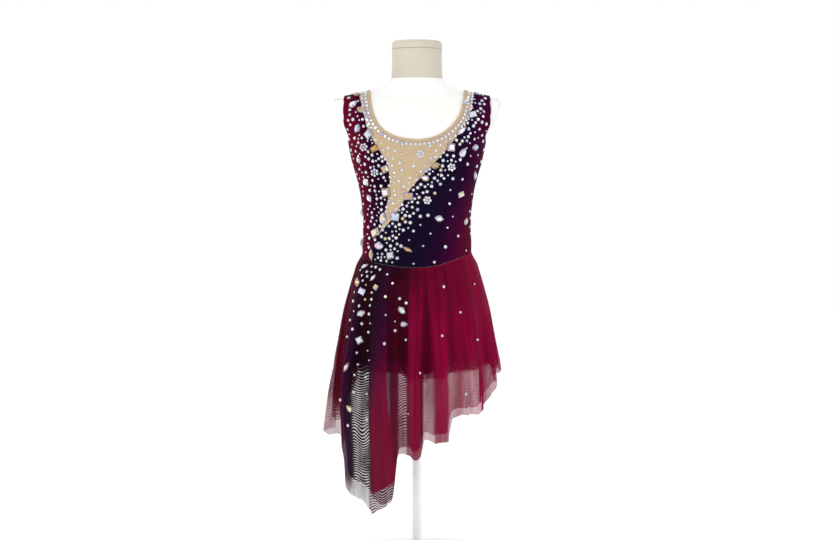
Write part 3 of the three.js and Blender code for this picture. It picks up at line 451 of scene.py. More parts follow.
m = Mat("neck_binding")
m.set(Base_Color=m.mix(m.fit(m.noise(120, 4), 0.3, 0.7, 0, 1), lin(189, 164, 132), lin(197, 174, 142)),
      Roughness=0.7, Specular_IOR_Level=0.25, Sheen_Weight=0.15)
knit(m, 0.3, 0.0004, 1100)
M_BIND = m.m

m = Mat("briefs_cloth")
m.set(Base_Color=m.mix(m.fit(m.noise(60, 4), 0.3, 0.7, 0, 1), lin(40, 2, 16), lin(54, 3, 22)),
      Roughness=0.75, Specular_IOR_Level=0.05, Sheen_Weight=0.03)
knit(m)
M_BRIEFS = m.m

m = Mat("form_white")
dust = m.noise(7, 4, 0.6)
m.set(Base_Color=m.mix(m.fit(dust, 0.3, 0.7, 0, 1), lin(249, 249, 247), lin(246, 246, 243)),
      Roughness=m.fit(m.noise(30, 3), 0.3, 0.7, 0.5, 0.62), Specular_IOR_Level=0.3)
m.bump(m.noise(900, 2), 0.1, 0.0002)
M_FORM = m.m

m = Mat("neck_cream")
m.set(Base_Color=m.mix(m.fit(m.noise(9, 4, 0.6), 0.3, 0.7, 0, 1), lin(210, 204, 188), lin(202, 196, 179)),
      Roughness=m.fit(m.noise(40, 3), 0.3, 0.7, 0.5, 0.64), Specular_IOR_Level=0.3)
m.bump(m.noise(1000, 2), 0.12, 0.0002)
M_NECK = m.m

m = Mat("stand_white")
m.set(Base_Color=m.mix(m.fit(m.noise(11, 3), 0.3, 0.7, 0, 1), lin(253, 253, 253), lin(250, 250, 250)),
      Roughness=m.fit(m.noise(60, 3), 0.3, 0.7, 0.28, 0.4), Specular_IOR_Level=0.5)
m.bump(m.noise(700, 2), 0.08, 0.0002)
M_STAND = m.m


def mesh_material(name, thin, thick, dark, bands):
    """Soft sheer mesh: see-through where it hangs alone, dense where plies gather."""
    m = Mat(name)
    s = m.attr("shade")
    wash = m.noise(16, 4, 0.6, m.scaled(1, 1, 0.3))
    s = m.math("ADD", s, m.fit(wash, 0.25, 0.75, -0.12, 0.12), clamp=True)
    c = m.ramp(s, [(0.0, lin(144, 2, 56)), (0.3, lin(110, 3, 47)), (0.6, lin(58, 4, 41)),
                   (0.85, lin(36, 4, 36)), (1.0, lin(15, 4, 20))])
    c = m.mix(m.attr("wine"), c, lin(98, 5, 34))
    streak = m.noise(150, 3, 0.62, m.scaled(1, 1, 0.035))
    # painted shade: the cloth is darkened in the valleys between its folds and under the waist
    c = m.mix(m.math("MULTIPLY", m.attr("valley_shade"), dark), c, lin(30, 0, 7))
    c = m.mix(m.fit(streak, 0.35, 0.72, 0.0, 0.3), c, lin(54, 0, 18))
    m.set(Base_Color=c, Roughness=0.68, Specular_IOR_Level=0.04, Sheen_Weight=0.03,
          Sheen_Roughness=0.4, Sheen_Tint=(1.0, 0.3, 0.5, 1.0))
    ply = m.attr("ply")
    a = m.fit(ply, 0.0, 1.0, thin, thick)
    soft = m.math("SUBTRACT", 1.0, ply, clamp=True)
    grain = m.math("MULTIPLY", m.fit(streak, 0.3, 0.7, -0.1, 0.1), soft)
    a = m.math("ADD", a, grain, clamp=True)
    # light patches where the folds turn to the light
    patch = m.noise(60, 3, 0.6, m.scaled(1, 1, 0.16))
    a = m.math("ADD", a, m.math("MULTIPLY", m.fit(patch, 0.45, 0.72, 0.0, -0.3), soft), clamp=True)
    a = m.math("MULTIPLY", a, m.math("MULTIPLY_ADD", m.attr("veil"), -0.5, 1.0))
    if bands:
        # wavy bands where two layers of mesh lie over each other
        xyz = m.n("SeparateXYZ")
        m.link(m.obj(), xyz.inputs[0])
        sway = m.math("SINE", m.math("MULTIPLY_ADD", xyz.outputs[0], 190.0, m.math("MULTIPLY", xyz.outputs[2], 9.0)))
        drift = m.math("MULTIPLY", m.noise(18, 1.0, 0.5), 0.026)
        high = m.math("ADD", m.math("MULTIPLY_ADD", sway, 0.0034, xyz.outputs[2]), drift)
        turns = m.math("SINE", m.math("MULTIPLY", high, 2 * math.pi / 0.0048))
        amount = m.math("MULTIPLY", m.attr("bands"), bands)
        a = m.math("ADD", a, m.math("MULTIPLY", turns, amount), clamp=True)
    clear = m.n("BsdfTransparent")
    m.link(m.mix(s, (1.0, 0.86, 0.895, 1.0), (0.9, 0.885, 0.9, 1.0)), clear.inputs[0])
    both = m.n("MixShader")
    m.link(a, both.inputs[0])
    m.link(clear.outputs[0], both.inputs[1])
    m.link(m.b.outputs[0], both.inputs[2])
    m.link(both.outputs[0], m.out.inputs[0])
    m.bump(m.noise(900, 1), 0.2, 0.0003)
    return m.m


M_OUTER = mesh_material("skirt_mesh_outer", 0.5, 0.97, 0.85, 0.42)
M_UNDER = mesh_material("skirt_mesh_under", 0.5, 0.95, 0.75, 0.46)
M_SHORT = mesh_material("skirt_mesh_short", 0.6, 0.97, 0.4, 0.0)

m = Mat("rhinestone")
c = m.ramp(m.attr("tint"), [(0.0, lin(252, 252, 253)), (0.45, lin(240, 244, 250)), (0.6, lin(186, 206, 248)),
                            (0.72, lin(232, 200, 240)), (0.84, lin(246, 236, 170)), (1.0, lin(206, 158, 84))], "LINEAR")
# painted light on the stones: a darkened copy of the tint, mixed in by each face's painted brightness
deep_shade = m.mix(1.0, c, (0.3, 0.3, 0.36, 1.0), "MULTIPLY")
m.set(Base_Color=m.mix(m.attr("facet"), deep_shade, c), Roughness=m.fit(m.noise(300, 2), 0.3, 0.7, 0.05, 0.12),
      Metallic=0.25, Specular_IOR_Level=0.9, Coat_Weight=0.8, Coat_Roughness=0.03)
M_STONE = m.m


def dress_up(ob, material, body="root", nodes=()):
    ob.data.materials.clear()
    ob.data.materials.append(material)
    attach(ob, body)
    if nodes:
        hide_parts(*nodes)
    return ob


# --------------------------------------------------------------------- form
def ring_stack(name, P, cap=True):
    """Rows of closed rings, with flat ends."""
    rows, cols = P.shape[:2]
    c = np.arange(cols)
    d = (c + 1) % cols
    faces = [[r * cols + i, r * cols + j, (r + 1) * cols + j, (r + 1) * cols + i]
             for r in range(rows - 1) for i, j in zip(c, d)]
    if cap:
        faces += [list(c[::-1]), list((rows - 1) * cols + c)]
    return add_object(name, P.reshape(-1, 3), faces, sharp=40)


zs = np.concatenate([[340, 341, 342.5, 345, 350], np.arange(355, 780, 5.0),
                     np.arange(780, 840, 1.5), np.arange(840, 896.01, 1.4)])
limit = ARM_X0 + (zs - ARM_Z0) * ARM_SLOPE
cut = (zs > ARM_Z0) & (fA(zs) > limit)


def past_cut(q):
    p = lifted(form_point, q, zs, -0.9)
    return p[:, 0] - (ARM_X0 - 0.9 * math.hypot(1, ARM_SLOPE) + (p[:, 2] - ARM_Z0) * ARM_SLOPE)


cut &= past_cut(np.full(len(zs), 90.0)) > 0
fore = solve(past_cut, np.full(len(zs), 20.0), np.full(len(zs), 90.0))
aft = solve(past_cut, np.full(len(zs), 90.0), np.full(len(zs), 160.0), rising=False)
fore, aft = np.where(cut, np.minimum(fore, 89.5), 89.5), np.where(cut, np.maximum(aft, 90.5), 90.5)
# columns: front, cut face, back, cut face
parts = [(-fore, fore, 110), (fore, aft, 14), (aft, 360 - aft, 110), (360 - aft, 360 - fore, 14)]
E = np.concatenate([a[:, None] + (b - a)[:, None] * (np.arange(n) / n)[None] for a, b, n in parts], 1)
Z = np.broadcast_to(zs[:, None], E.shape)
P = lifted(form_point, E, Z, -0.9)
wall_at = (ARM_X0 - 0.9 * math.hypot(1, ARM_SLOPE) + (P[..., 2] - ARM_Z0) * ARM_SLOPE)
over = (P[..., 2] > ARM_Z0) & (np.abs(P[..., 0]) > wall_at)
k = np.where(over, wall_at / np.maximum(np.abs(P[..., 0]), 1e-6), 1.0)
P[..., 0] *= k
P[..., 1] *= k
P[..., 2] = np.where((Z < 700) | (Z > 890), Z, P[..., 2])
torso = ring_stack("form_torso_skin", P)
dress_up(torso, M_FORM, nodes=["form_torso"])


def turned(name, profile, sides=128, squash=1.0):
    prof = np.array(profile, float)
    a = np.radians(np.linspace(0, 360, sides + 1)[:-1])
    P = np.stack([prof[:, None, 0] * np.cos(a)[None], prof[:, None, 0] * squash * np.sin(a)[None],
                  np.broadcast_to(prof[:, None, 1], (len(prof), sides))], -1)
    return ring_stack(name, P)


def arc(r, z, rad, a0, a1, n=8):
    return [(r + rad * math.cos(math.radians(a)), z + rad * math.sin(math.radians(a)))
            for a in np.linspace(a0, a1, n)]


neck = turned("form_neck_skin", [(48.9, 896.2), (48.4, 900), (47.8, 910), (47.3, 925), (47.2, 940),
                                 (47.4, 951.4)] + arc(46.6, 951.2, 0.9, 0, 90, 5), 160, 0.945)
dress_up(neck, M_NECK, nodes=["form_neck"])
cap = turned("form_neck_cap_skin", arc(46.7, 953.4, 1.0, -90, 0, 5) + [(47.6, 957)]
             + arc(41.0, 961.4, 6.5, 0, 88, 12), 160, 0.95)
dress_up(cap, M_NECK, nodes=["form_neck_cap"])

tilt = math.atan(ARM_SLOPE)
for name, side in (("right", -1), ("left", 1)):
    prof = [(0.985, -0.9)] + [(0.985, 0.6), (1.0, 1.0), (1.0, 3.0)] + [(0.985, 3.7), (0.95, 4.0)]
    a = np.radians(np.linspace(0, 360, 97)[:-1])
    rows = []
    for s, d in prof:
        lx, ly = 27 * s * np.cos(a), 34 * s * np.sin(a)     # along the height and the depth
        off = d + (0.9 - FORM_IN)
        mid = 828.0
        x = ARM_X0 + (mid - ARM_Z0) * ARM_SLOPE
        # in the arm plane: depth is Y, height runs up along the slope
        px = side * (x + lx * math.sin(tilt) + off * math.cos(tilt))
        pz = mid + lx * math.cos(tilt) - off * math.sin(tilt)
        rows.append(np.stack([px, 2.5 + ly, pz], -1))
    rows = np.array(rows)
    if side < 0:
        rows = rows[:, ::-1]
    plate = ring_stack("arm_plate_" + name, rows)
    dress_up(plate, M_FORM, nodes=["form_arm_plate_" + name])

base = turned("stand_base_plate", [(148.6, 0.0)] + arc(148.8, 1.2, 1.2, -80, 0, 5)
              + arc(147.0, 7.0, 3.0, 0, 90, 8), 192)
dress_up(base, M_STAND, nodes=["stand_base"])
pole = turned("stand_pole_tube", [(8.6, 10.3), (9.0, 10.8), (9.0, 339.2), (8.6, 339.7)], 64)
dress_up(pole, M_STAND, nodes=["stand_pole"])
prof = [(9.4, 319.7), (20.4, 319.7)] + arc(20.4, 321.3, 1.6, -75, 0, 6) + [(22.0, 338.5), (21.4, 339.4), (9.4, 339.6)]
collar = turned("stand_collar_ring", prof, 96)
dress_up(collar, M_STAND, nodes=["stand_collar"])


# ------------------------------------------------------------------- bodice
def body_wave(e, z):
    """Soft wrinkles of the worn cloth, outwards only."""
    w = 0.55 + 0.45 * np.sin(0.035 * z + 0.06 * np.asarray(e) + 1.3 * np.sin(np.radians(e) * 2 + 0.7))
    side = np.exp(-((np.abs(wrap(e)) - 78) / 34) ** 2) * np.exp(-((z - 615) / 70) ** 2)
    fine = 0.5 + 0.5 * np.sin(0.16 * z + 0.05 * np.asarray(e) + 2.2 * np.sin(np.radians(e) * 3))
    waist = np.exp(-((z - 575) / 34) ** 2)
    return 0.25 * w + 0.8 * side * fine + 0.5 * waist * (0.5 + 0.5 * np.sin(np.radians(e) * 23 + 0.09 * z))


def on_body(e, z, lift):
    return lifted(form_point, e, z, lift + body_wave(e, z))


EDGE_T = np.array([1, 0.9975, 0.99, 0.969, 0.93, 0.87, 0.785, 0.685, 0.575, 0.46, 0.34, 0.23, 0.115, 0])
xR, xL = curve(INSET_R, 0, 1), curve(INSET_L, 0, 1)
SIDE_E = 90 - 0.02
VIS_SEAM = 0.12
MEET = (-88.0, float(waist_z(-59.5)))
TIP = (-70.3, 600.6)
MIDDLE = ((TIP[0] + MEET[0]) / 2 - 1, (TIP[1] + MEET[1]) / 2)


def edge_place(table, xat, t):
    z = table[-1][1] + (table[0][1] - table[-1][1]) * t
    return xat(z), z


def inner_edge(table, xat, s, dx):
    """Edge of a front panel on the inset's side, s from 0 at the waist to 15 at the shoulder."""
    t = np.interp(s - 2, np.arange(14), EDGE_T[::-1])
    x, z = edge_place(table, xat, t)
    low = s < 2
    x = np.where(low, np.interp(s, [0, 1, 2], [MEET[0], MIDDLE[0], TIP[0]]), x)
    z = np.where(low, np.interp(s, [0, 1, 2], [MEET[1], MIDDLE[1], TIP[1]]), z)
    e, z = on_front(x + dx, z)
    return np.clip(e, -SIDE_E, SIDE_E), z


def outer_edge(side, behind, heights):
    z = np.asarray(heights, float)
    depth = np.where(z < 775, 0, curve(ARMHOLE, 2 if behind else 1)(z))
    if behind:
        e = solve(lambda q: form_point(q, z)[..., 1] - depth, np.full(z.shape, 90.0), np.full(z.shape, 160.0))
    else:
        e = solve(lambda q: -form_point(q, z)[..., 1] - depth, np.full(z.shape, 20.0),
                  np.full(z.shape, 90.0), rising=False)
    e = np.where(depth < 0.01, 90.0, e)
    return side * e, z


scoop_back = curve(SCOOP_B, 1)


def panel_grid(le, lz, re, rz, cols, bottom, top=None):
    rows = len(le)
    lz, rz = lz.copy(), rz.copy()
    lz[0], rz[0] = bottom(le[0]), bottom(re[0])
    t = np.linspace(0, 1, rows)[:, None]
    f = np.linspace(0, 1, cols)[None, :]
    e = le[:, None] + (re - le)[:, None] * f
    z = lz[:, None] + (rz - lz)[:, None] * f
    e0 = le[0] + (re[0] - le[0]) * f
    z = z + (1 - t) ** 3 * (bottom(e0) - (lz[0] + (rz[0] - lz[0]) * f))
    if top is not None:
        te, tz = top(f[0])
        e = e + t ** 3 * (te[None] - (le[-1] + (re[-1] - le[-1]) * f))
        share = ((lz - lz[0]) / (lz[-1] - lz[0]))[:, None]
        z = bottom(e0) + (tz[None] - bottom(e0)) * share
        # rows that come up beside the scoop stay below its edge
        for _ in range(4):
            limit = scoop_back(form_point(e, z)[..., 0]) - 22 * (1 - t)
            z = np.where(t < 1, np.minimum(z, limit), z)
    return e, z


bottom_of = lambda e: waist_z(wrap(e)) + 0.35
SIDE_Z = [568, 585, 606, 634, 672, 724, 775, 779, 790, 808, 826, 842, 850, 857, 861, 862.3]
# even steps along the panel's length in place of the rows of the table
marks = np.interp(np.linspace(0, 1, 131), np.linspace(0, 1, 16), np.arange(16))
side_z = np.interp(marks, np.arange(16), SIDE_Z)


def cloth_wall(name, e, z, attrs, low=0.9, thick=CLOTH):
    AREAS[name] = area_of(on_body(e, z, low))
    outer, inner = on_body(e, z, low + thick), on_body(e, z, low)
    return wall_object(name, outer, inner, attrs, sharp=60)


xbR = curve([(560, -88), (600, -92), (715, -98), (780, -106), (840, -118), (880, -128)], 1)
xbL = curve([(530, 30), (560, 42), (640, 62), (715, 88), (780, 98), (840, 106), (880, 108)], 1)


def shade_right(P):
    x, z = P[..., 0], P[..., 2]
    return smooth(-17, 26, x - xbR(z)) * 0.95


def shade_left(P):
    x, z = P[..., 0], P[..., 2]
    return 1 - smooth(-56, 58, x - xbL(z))


le, lz = outer_edge(-1, False, side_z)
re, rz = inner_edge(INSET_R, xR, marks, -VIS_SEAM)
e, z = panel_grid(le, lz, re, rz, 64, bottom_of)
right_panel = cloth_wall("bodice_front_right_cloth", e, z, {"shade": shade_right(form_point(e, z))})
dress_up(right_panel, M_WINE, nodes=["bodice_front_right"])

le, lz = inner_edge(INSET_L, xL, marks, VIS_SEAM)
re, rz = outer_edge(1, False, side_z)
e, z = panel_grid(le, lz, re, rz, 120, bottom_of)
left_panel = cloth_wall("bodice_front_left_cloth", e, z, {"shade": shade_left(form_point(e, z))})
dress_up(left_panel, M_NAVY, nodes=["bodice_front_left"])

# nude inset: columns run from the scoop down to the edges of the two panels
STEPS = [0, 0.1, 0.25, 0.5, 0.85, 1.3, 2.0, 3.0, 4.3, 5.6, 6.7, 7.4, 7.8, 8.1, 8.4, 8.8, 9.2, 9.7,
         10.3, 11.0, 11.7, 12.4, 13.1, 13.7, 14.25, 14.7, 15]
index = np.arange(len(SCOOP_F))
sfx = curve([(i, q[0]) for i, q in enumerate(SCOOP_F)], 1)
sfz = curve([(i, q[1]) for i, q in enumerate(SCOOP_F)], 1)
s = np.linspace(0, 26, 209)
st = np.interp(s, np.arange(27), STEPS)
te, tz = on_front(sfx(st), sfz(st))
t = np.interp(np.where(s <= 13, s, 26 - s), np.arange(14), EDGE_T)
ax, az = edge_place(INSET_R, xR, t)
bx, bz = edge_place(INSET_L, xL, t)
left_half = s <= 13
lx = np.where(left_half, ax + VIS_SEAM, bx - VIS_SEAM)
lz = np.where(left_half, az, bz)
we, wz = on_front(lx, lz)
f = np.linspace(0, 1, 56)[:, None]
e = te[None] + (we - te)[None] * f
z = tz[None] + (wz - tz)[None] * f
inset = cloth_wall("bodice_inset_cloth", e[::-1], z[::-1], {})
dress_up(inset, M_NUDE, nodes=["bodice_inset"])

# back
BACK_Z = [568, 612, 690, 775, 780, 792, 812, 834, 849, 859, 862.3]
bm = np.interp(np.linspace(0, 1, 121), np.linspace(0, 1, 11), np.arange(11))
back_z = np.interp(bm, np.arange(11), BACK_Z)
le, lz = outer_edge(1, True, back_z)
re, rz = outer_edge(-1, True, back_z)
re = re + 360
sbx = np.array([q[0] for q in SCOOP_B], float)[::-1]
sbz = np.array([q[1] for q in SCOOP_B], float)[::-1]
be = on_back(sbx, sbz)
be[0], be[-1] = 90, 270
path_e = np.concatenate([[le[-1], 90, 90], be, [270, 270, re[-1]]])
path_z = np.concatenate([[862.3, 865, 868.5], sbz, [868.5, 865, 862.3]])
ce = curve(list(zip(range(len(path_e)), path_e)), 1)
cz = curve(list(zip(range(len(path_z)), path_z)), 1)
TOP = [0, 1, 2, 3, 3.6, 4.2, 4.8, 5.4, 6.0, 6.5, 7.0, 7.5, 8.0]
TOP = TOP + [16 - v for v in TOP[:-1][::-1]]


def back_top(f):
    v = np.interp(f * 24, np.arange(25), TOP)
    return ce(v), cz(v)


e, z = panel_grid(le, lz, re, rz, 193, bottom_of, back_top)
P = form_point(e, z)
back_shade = 0.12 + 0.42 * np.exp(-((np.abs(P[..., 0]) - 0) / 62) ** 2) * smooth(840, 560, z)
back = cloth_wall("bodice_back_cloth", e, z, {"shade": back_shade})
dress_up(back, M_WINE, nodes=["bodice_back"])

# binding round the neck edge
sf = np.linspace(0.0, 15.0, 241)
fx, fz = sfx(sf), sfz(sf)
fe = solve(lambda q: form_point(q, fz)[..., 0] - fx, np.full(fx.shape, -90.0), np.full(fx.shape, 90.0))
sb = np.linspace(10, 0, 161)[1:-1]
gx = curve([(i, q[0]) for i, q in enumerate(SCOOP_B)], 1)(sb)
gz = curve([(i, q[1]) for i, q in enumerate(SCOOP_B)], 1)(sb)
ge = on_back(gx, gz)
ge = np.where(ge > 180, ge, ge)
NE = np.concatenate([fe, ge])
NZ = np.concatenate([fz, gz])


def settle(target, e, z):
    e, z = e.copy(), z.copy()
    for _ in range(14):
        p = form_point(e, z)
        pe = (form_point(e + 0.2, z) - form_point(e - 0.2, z)) / 0.4
        pz = (form_point(e, z + 0.2) - form_point(e, z - 0.2)) / 0.4
        d = target - p
        a11, a12, a22 = (pe * pe).sum(-1), (pe * pz).sum(-1), (pz * pz).sum(-1)
        b1, b2 = (pe * d).sum(-1), (pz * d).sum(-1)
        det = np.maximum(a11 * a22 - a12 * a12, 1e-6)
        e += np.clip((a22 * b1 - a12 * b2) / det, -4, 4)
        z += np.clip((a11 * b2 - a12 * b1) / det, -3, 3)
    return e, z


edge = form_point(NE, NZ)
tan = np.roll(edge, -1, 0) - np.roll(edge, 1, 0)
tan /= np.maximum(np.linalg.norm(tan, axis=-1, keepdims=True), 1e-9)
nor = normal_of(form_point, NE, NZ)
out = np.cross(nor, tan)
out /= np.maximum(np.linalg.norm(out, axis=-1, keepdims=True), 1e-9)
flip = (out * (edge - np.array([0, 0, 930.0]))).sum(-1) < 0
out[flip] *= -1


def beside_neck(d):
    """Places at a distance d from the neck edge, on the cloth's side."""
    return settle(edge + out * d, NE, NZ)


rows = []
for d, lift in ((-0.6, 0.4), (-0.9, 1.3), (-0.4, 2.2), (0.6, 2.65), (1.8, 2.7), (3.0, 2.7), (4.0, 2.55),
                (4.6, 2.15), (4.7, 1.75), (4.0, 1.65), (1.8, 1.65), (0.3, 1.2)):
    qe, qz = beside_neck(max(d, 0.0)) if d > 0 else (NE, NZ)
    p = on_body(qe, qz, lift)
    if d < 0:
        p = p + out * d
    rows.append(p)
rows = np.array(rows)
k, cnt = rows.shape[:2]
faces = [[a * cnt + i, a * cnt + (i + 1) % cnt, ((a + 1) % k) * cnt + (i + 1) % cnt, ((a + 1) % k) * cnt + i]
         for a in range(k) for i in range(cnt)]
binding = add_object("neck_binding_band", rows.reshape(-1, 3), faces, sharp=70)
dress_up(binding, M_BIND, nodes=["neck_binding"])

# ------------------------------------------------------------------- briefs
legx = curve([(z, x) for z, x in LEG], 1)
for name, behind in (("briefs_front", False), ("briefs_back", True)):
    mid = 180.0 if behind else 0.0
    levels = np.concatenate([[np.nan], np.linspace(528, 446, 24), np.linspace(443, 343.5, 46)])
    cols = 97
    fr = np.linspace(-1, 1, cols)
    outer, inner = [], []
    for q in levels:
        ref = 537.0 if np.isnan(q) else q
        half = SIDE_E
        if ref < 446:
            w = np.array([float(legx(ref))])
            half = min(SIDE_E, float(on_front(w, np.array([ref]))[0][0]))
        e = mid + half * fr
        z = waist_z(wrap(e)) - 0.35 if np.isnan(q) else np.full(cols, q)
        outer.append(lifted(form_point, e, z, np.full(cols, 0.65)))
        inner.append(lifted(form_point, e, z, np.full(cols, 0.05)))
    y0, y1 = (88.0, 28.0) if behind else (-80.0, -28.0)
    for q in np.linspace(0, 1, 14):
        x = (-1 if behind else 1) * 25 * fr
        y = np.full(cols, y0 + (y1 - y0) * q)
        outer.append(np.stack([x, y, np.full(cols, 340 - 1.6)], -1))
        inner.append(np.stack([x, y, np.full(cols, 340 - 1.0)], -1))
    outer, inner = np.array(outer)[::-1], np.array(inner)[::-1]
    AREAS[name + "_cloth"] = area_of(outer)
    ob = wall_object(name + "_cloth", outer, inner, {}, sharp=60)
    dress_up(ob, M_BRIEFS, nodes=[name])

# -------------------------------------------------------------------- skirt
FE = np.array([r[0] for r in FOLDS], float)
FW = np.array([r[1] for r in FOLDS], float)
FF = np.array([r[2] for r in FOLDS], float)
g = np.random.default_rng(4021)
LEAN = g.uniform(-2.6, 2.6, len(FE))
LEAN[-1] = LEAN[0]
PLEATS = [(g.integers(34, 74), g.uniform(0, 6.28), g.uniform(0.4, 1.0), g.uniform(-0.006, 0.006)) for _ in range(7)]
PATCH = [(g.integers(3, 13), g.uniform(0, 6.28)) for _ in range(4)]


def fold_parts(u):
    v = wrap(u)
    i = np.clip(np.searchsorted(FE, v, side="right") - 1, 0, len(FE) - 2)
    t = (v - FE[i]) / (FE[i + 1] - FE[i])
    s = 0.5 - 0.5 * np.cos(np.pi * t)
    pick = lambda a: a[i] + (a[i + 1] - a[i]) * s
    return pick(FW), pick(FF), pick(LEAN), (FE[i + 1] - FE[i]) / np.pi * np.sin(2 * np.pi * t)


def pleats(u, z):
    r = np.radians(u)
    total, patch = 0.0, 0.0
    for n, p, a, k in PLEATS:
        total = total + a * np.sin(n * r + p + k * (z - 300) + 0.7 * np.sin(3 * r + p))
    for n, p in PATCH:
        patch = patch + np.sin(n * r + p)
    return total / 3.2 * (0.75 + 0.25 * patch)


def skirt_xyz(u, z, layer):
    u, z = np.broadcast_arrays(np.asarray(u, float), np.asarray(z, float))
    w, flare, lean, omega = fold_parts(u)
    soft = smooth(535, 330, z)
    # steeper flanks and a lean that comes and goes down the skirt
    e = u + 0.36 * soft * omega + soft * lean * (0.6 + 0.4 * np.sin(z * 0.012 + u * 0.1))
    out = (sFold(z) * w * (0.94 + 0.06 * np.sin(z * 0.021 + np.radians(u) * 5))
           + flare * np.maximum(0, 350 - z) * (1.0 if layer == 0 else 0.35)
           - layer * sStep(z))
    small = 0.5 + 1.9 * smooth(540, 300, z) + 0.9 * smooth(300, 120, z)
    out = out + small * pleats(u, z) + (0.0, -0.5, 0.6)[layer] * smooth(500, 380, z) * np.sin(np.radians(u) * 61 + 1.1 * layer)
    x, y = squared(sA(z) + out, sFront(z) + out, sBack(z) + out, 2.1, e)
    P = np.stack([x, y, z], -1)
    # at the waist the skirt is sewn in under the bodice's edge
    top = waist_z(wrap(u)) - 0.35
    near = smooth(26, 0, top - z)[..., None]
    gather = 0.5 * np.sin(np.radians(u) * 90 + 0.5 * np.sin(np.radians(u) * 17)) * smooth(0, 10, top - z)
    Q = lifted(form_point, u, z, 2.0 - 0.42 * layer + gather)
    return P + (Q - P) * near, e


def skirt_sheet(name, layer, u0, u1, cols, rows, mat, key):
    u = np.linspace(u0, u1, cols)
    top = waist_z(wrap(u)) - 0.35
    _, e_hem = skirt_xyz(u, np.full(cols, 250.0), layer)
    hem = hem_z[layer](wrap(e_hem)) + 1.2 * np.sin(np.radians(u) * 47 + layer) * (layer < 2)
    v = np.linspace(0, 1, rows)[:, None]
    z = top[None] + (hem - top)[None] * v
    U = np.broadcast_to(u[None], z.shape)
    P, E = skirt_xyz(U, z, layer)
    E = wrap(E)
    w = fold_parts(U)[0]
    AREAS[name] = area_of(P)
    left, right = broad_left(z), broad_right(z)
    fold = smooth(left - 1.2, left + 0.8, E) * smooth(right + 0.8, right - 1.2, E)
    ply = np.maximum(plies_at(E), 0.93 * fold)
    x = P[..., 0]
    # denser where the gathers run together and where the short layer hangs behind
    ply = np.clip(ply + 0.6 * smooth(330, 400, z) * (1 - ply) + 0.4 * smooth(400, 500, z), 0, 1)
    # the wing on the wearer's right thins out towards its hem
    ply = ply * (1 - 0.9 * smooth(308, 262, z + 0.9 * (x + 160)) * (E < -66) * (E > -112))
    shade = shade_at(E)
    # the broad fold of the tail turns from plum to crimson on its way down
    shade = shade - fold * (0.36 * smooth(420, 230, z) - 0.16 * smooth(330, 470, z))
    # navy runs from the waist's right side down the long tail
    diag = smooth(40, -60, x + (z - 540) * 0.35) * smooth(455, 545, z) * (np.abs(E) < 92)
    shade = np.clip(np.maximum(shade, 0.75 * diag), 0, 1)
    wine = smooth(-62, -76, E) * smooth(-128, -100, E) + 0.55 * fold * smooth(360, 200, z)
    # painted shade in the valleys between the folds, fading out near the waist, weaker towards the hem and strongest
    # across the front
    valley_shade = np.clip(1 - w, 0, 1) ** 1.3 * smooth(548, 480, z) * (0.35 + 0.65 * smooth(330, 385, z))
    deep_shade = 0.35 + 0.65 * smooth(-75, -55, E) * smooth(22, -2, E)
    valley_shade = valley_shade * np.where(np.abs(E) < 92, deep_shade, 0.6)
    # painted shade, darker under the waist, where all the layers lie close
    waist_shade = smooth(385, 490, z) * np.where(np.abs(E) < 92, 0.52 - 0.3 * smooth(38, 62, E) - 0.2 * smooth(-60, -75, E), 0.4)
    valley_shade = np.maximum(valley_shade, waist_shade)
    # painted shade: the recess beside the broad fold is the darkest, and a recess on the wing is darkened too
    valley_shade = np.maximum(valley_shade, 0.9 * smooth(right - 0.6, right + 1, E) * smooth(-5.5, -7, E) * smooth(335, 375, z))
    valley_shade = np.maximum(valley_shade, 0.6 * smooth(-64, -68, E) * smooth(-96, -84, E) * smooth(352, 420, z))
    # and each fold casts a painted shade on the cloth beside it, with a crisp edge
    for at, depth, width, way in CREASES:
        gap = (E - at - 0.9 * np.sin(z * 0.014 + at)) * way
        line = smooth(-0.5, 0.15, gap) * np.clip(1 - gap / width, 0, 1) ** 1.4
        valley_shade = 1 - (1 - valley_shade) * (1 - depth * line * (0.55 + 0.45 * smooth(320, 400, z)))
    valley_shade = valley_shade * (1 - 0.85 * fold)
    # one layer alone at the foot of the tail
    tail = smooth(128, 92, z + 0.45 * (x + 82))
    ply = ply * (1 - 0.9 * tail * (layer == 0))
    bands = (smooth(-51.5, -49.5, E) * smooth(left + 0.5, left - 1, E) + 0.5 * smooth(-100, -80, E) * smooth(-62, -68, E)
             + 0.7 * smooth(-14.5, -13, E) * smooth(-7, -8.4, E) + 0.15 * (E > 0) * (E < 92)
             + 0.5 * smooth(110, 88, z) * (E > -40) * (E < -15) + 0.12 * (np.abs(E) > 92)) * smooth(385, 360, z)
    if layer == 0:                                   # only where the under layer is behind
        bands = bands * smooth(-3, 5, z - hem_z[1](E))
    # the broad fold ends higher than the mesh it lies on
    foot = smooth(2, -2, z - 113 - 0.5 * (x + 91.7)) * smooth(-39.5, -38, E) * smooth(-12, -14, E)
    ply = ply + foot * (0.42 - ply)
    shade = shade + foot * (0.62 - shade)
    wine = wine * (1 - foot)
    bands = bands + foot * (0.7 - bands) * (layer < 2)
    # a single veil where the wing turns to the back
    veil = smooth(-87, -92, E) * smooth(-118, -104, E) * smooth(335, 285, z)
    ob = sheet_object(name, P[::-1], {"veil": veil[::-1], "ply": ply[::-1], "shade": shade[::-1], "wine": wine[::-1], "valley_shade": valley_shade[::-1],
                                   "bands": bands[::-1]})
    dress_up(ob, mat, nodes=[key])
    return ob


skirts = {}
for label, layer, mat, cols, rows in (("outer", 0, M_OUTER, 421, 96), ("under", 1, M_UNDER, 361, 84),
                                      ("short", 2, M_SHORT, 301, 46)):
    for side, a, b in (("front", -90, 90), ("back", 90, 270)):
        key = f"skirt_{label}_{side}"
        skirts[key] = skirt_sheet(key + "_mesh", layer, a, b, cols, rows, mat, key)

# ------------------------------------------------------------------- stones
def frame_at(f, e, z):
    p = f(e, z)
    n = normal_of(f, e, z)
    return p, n


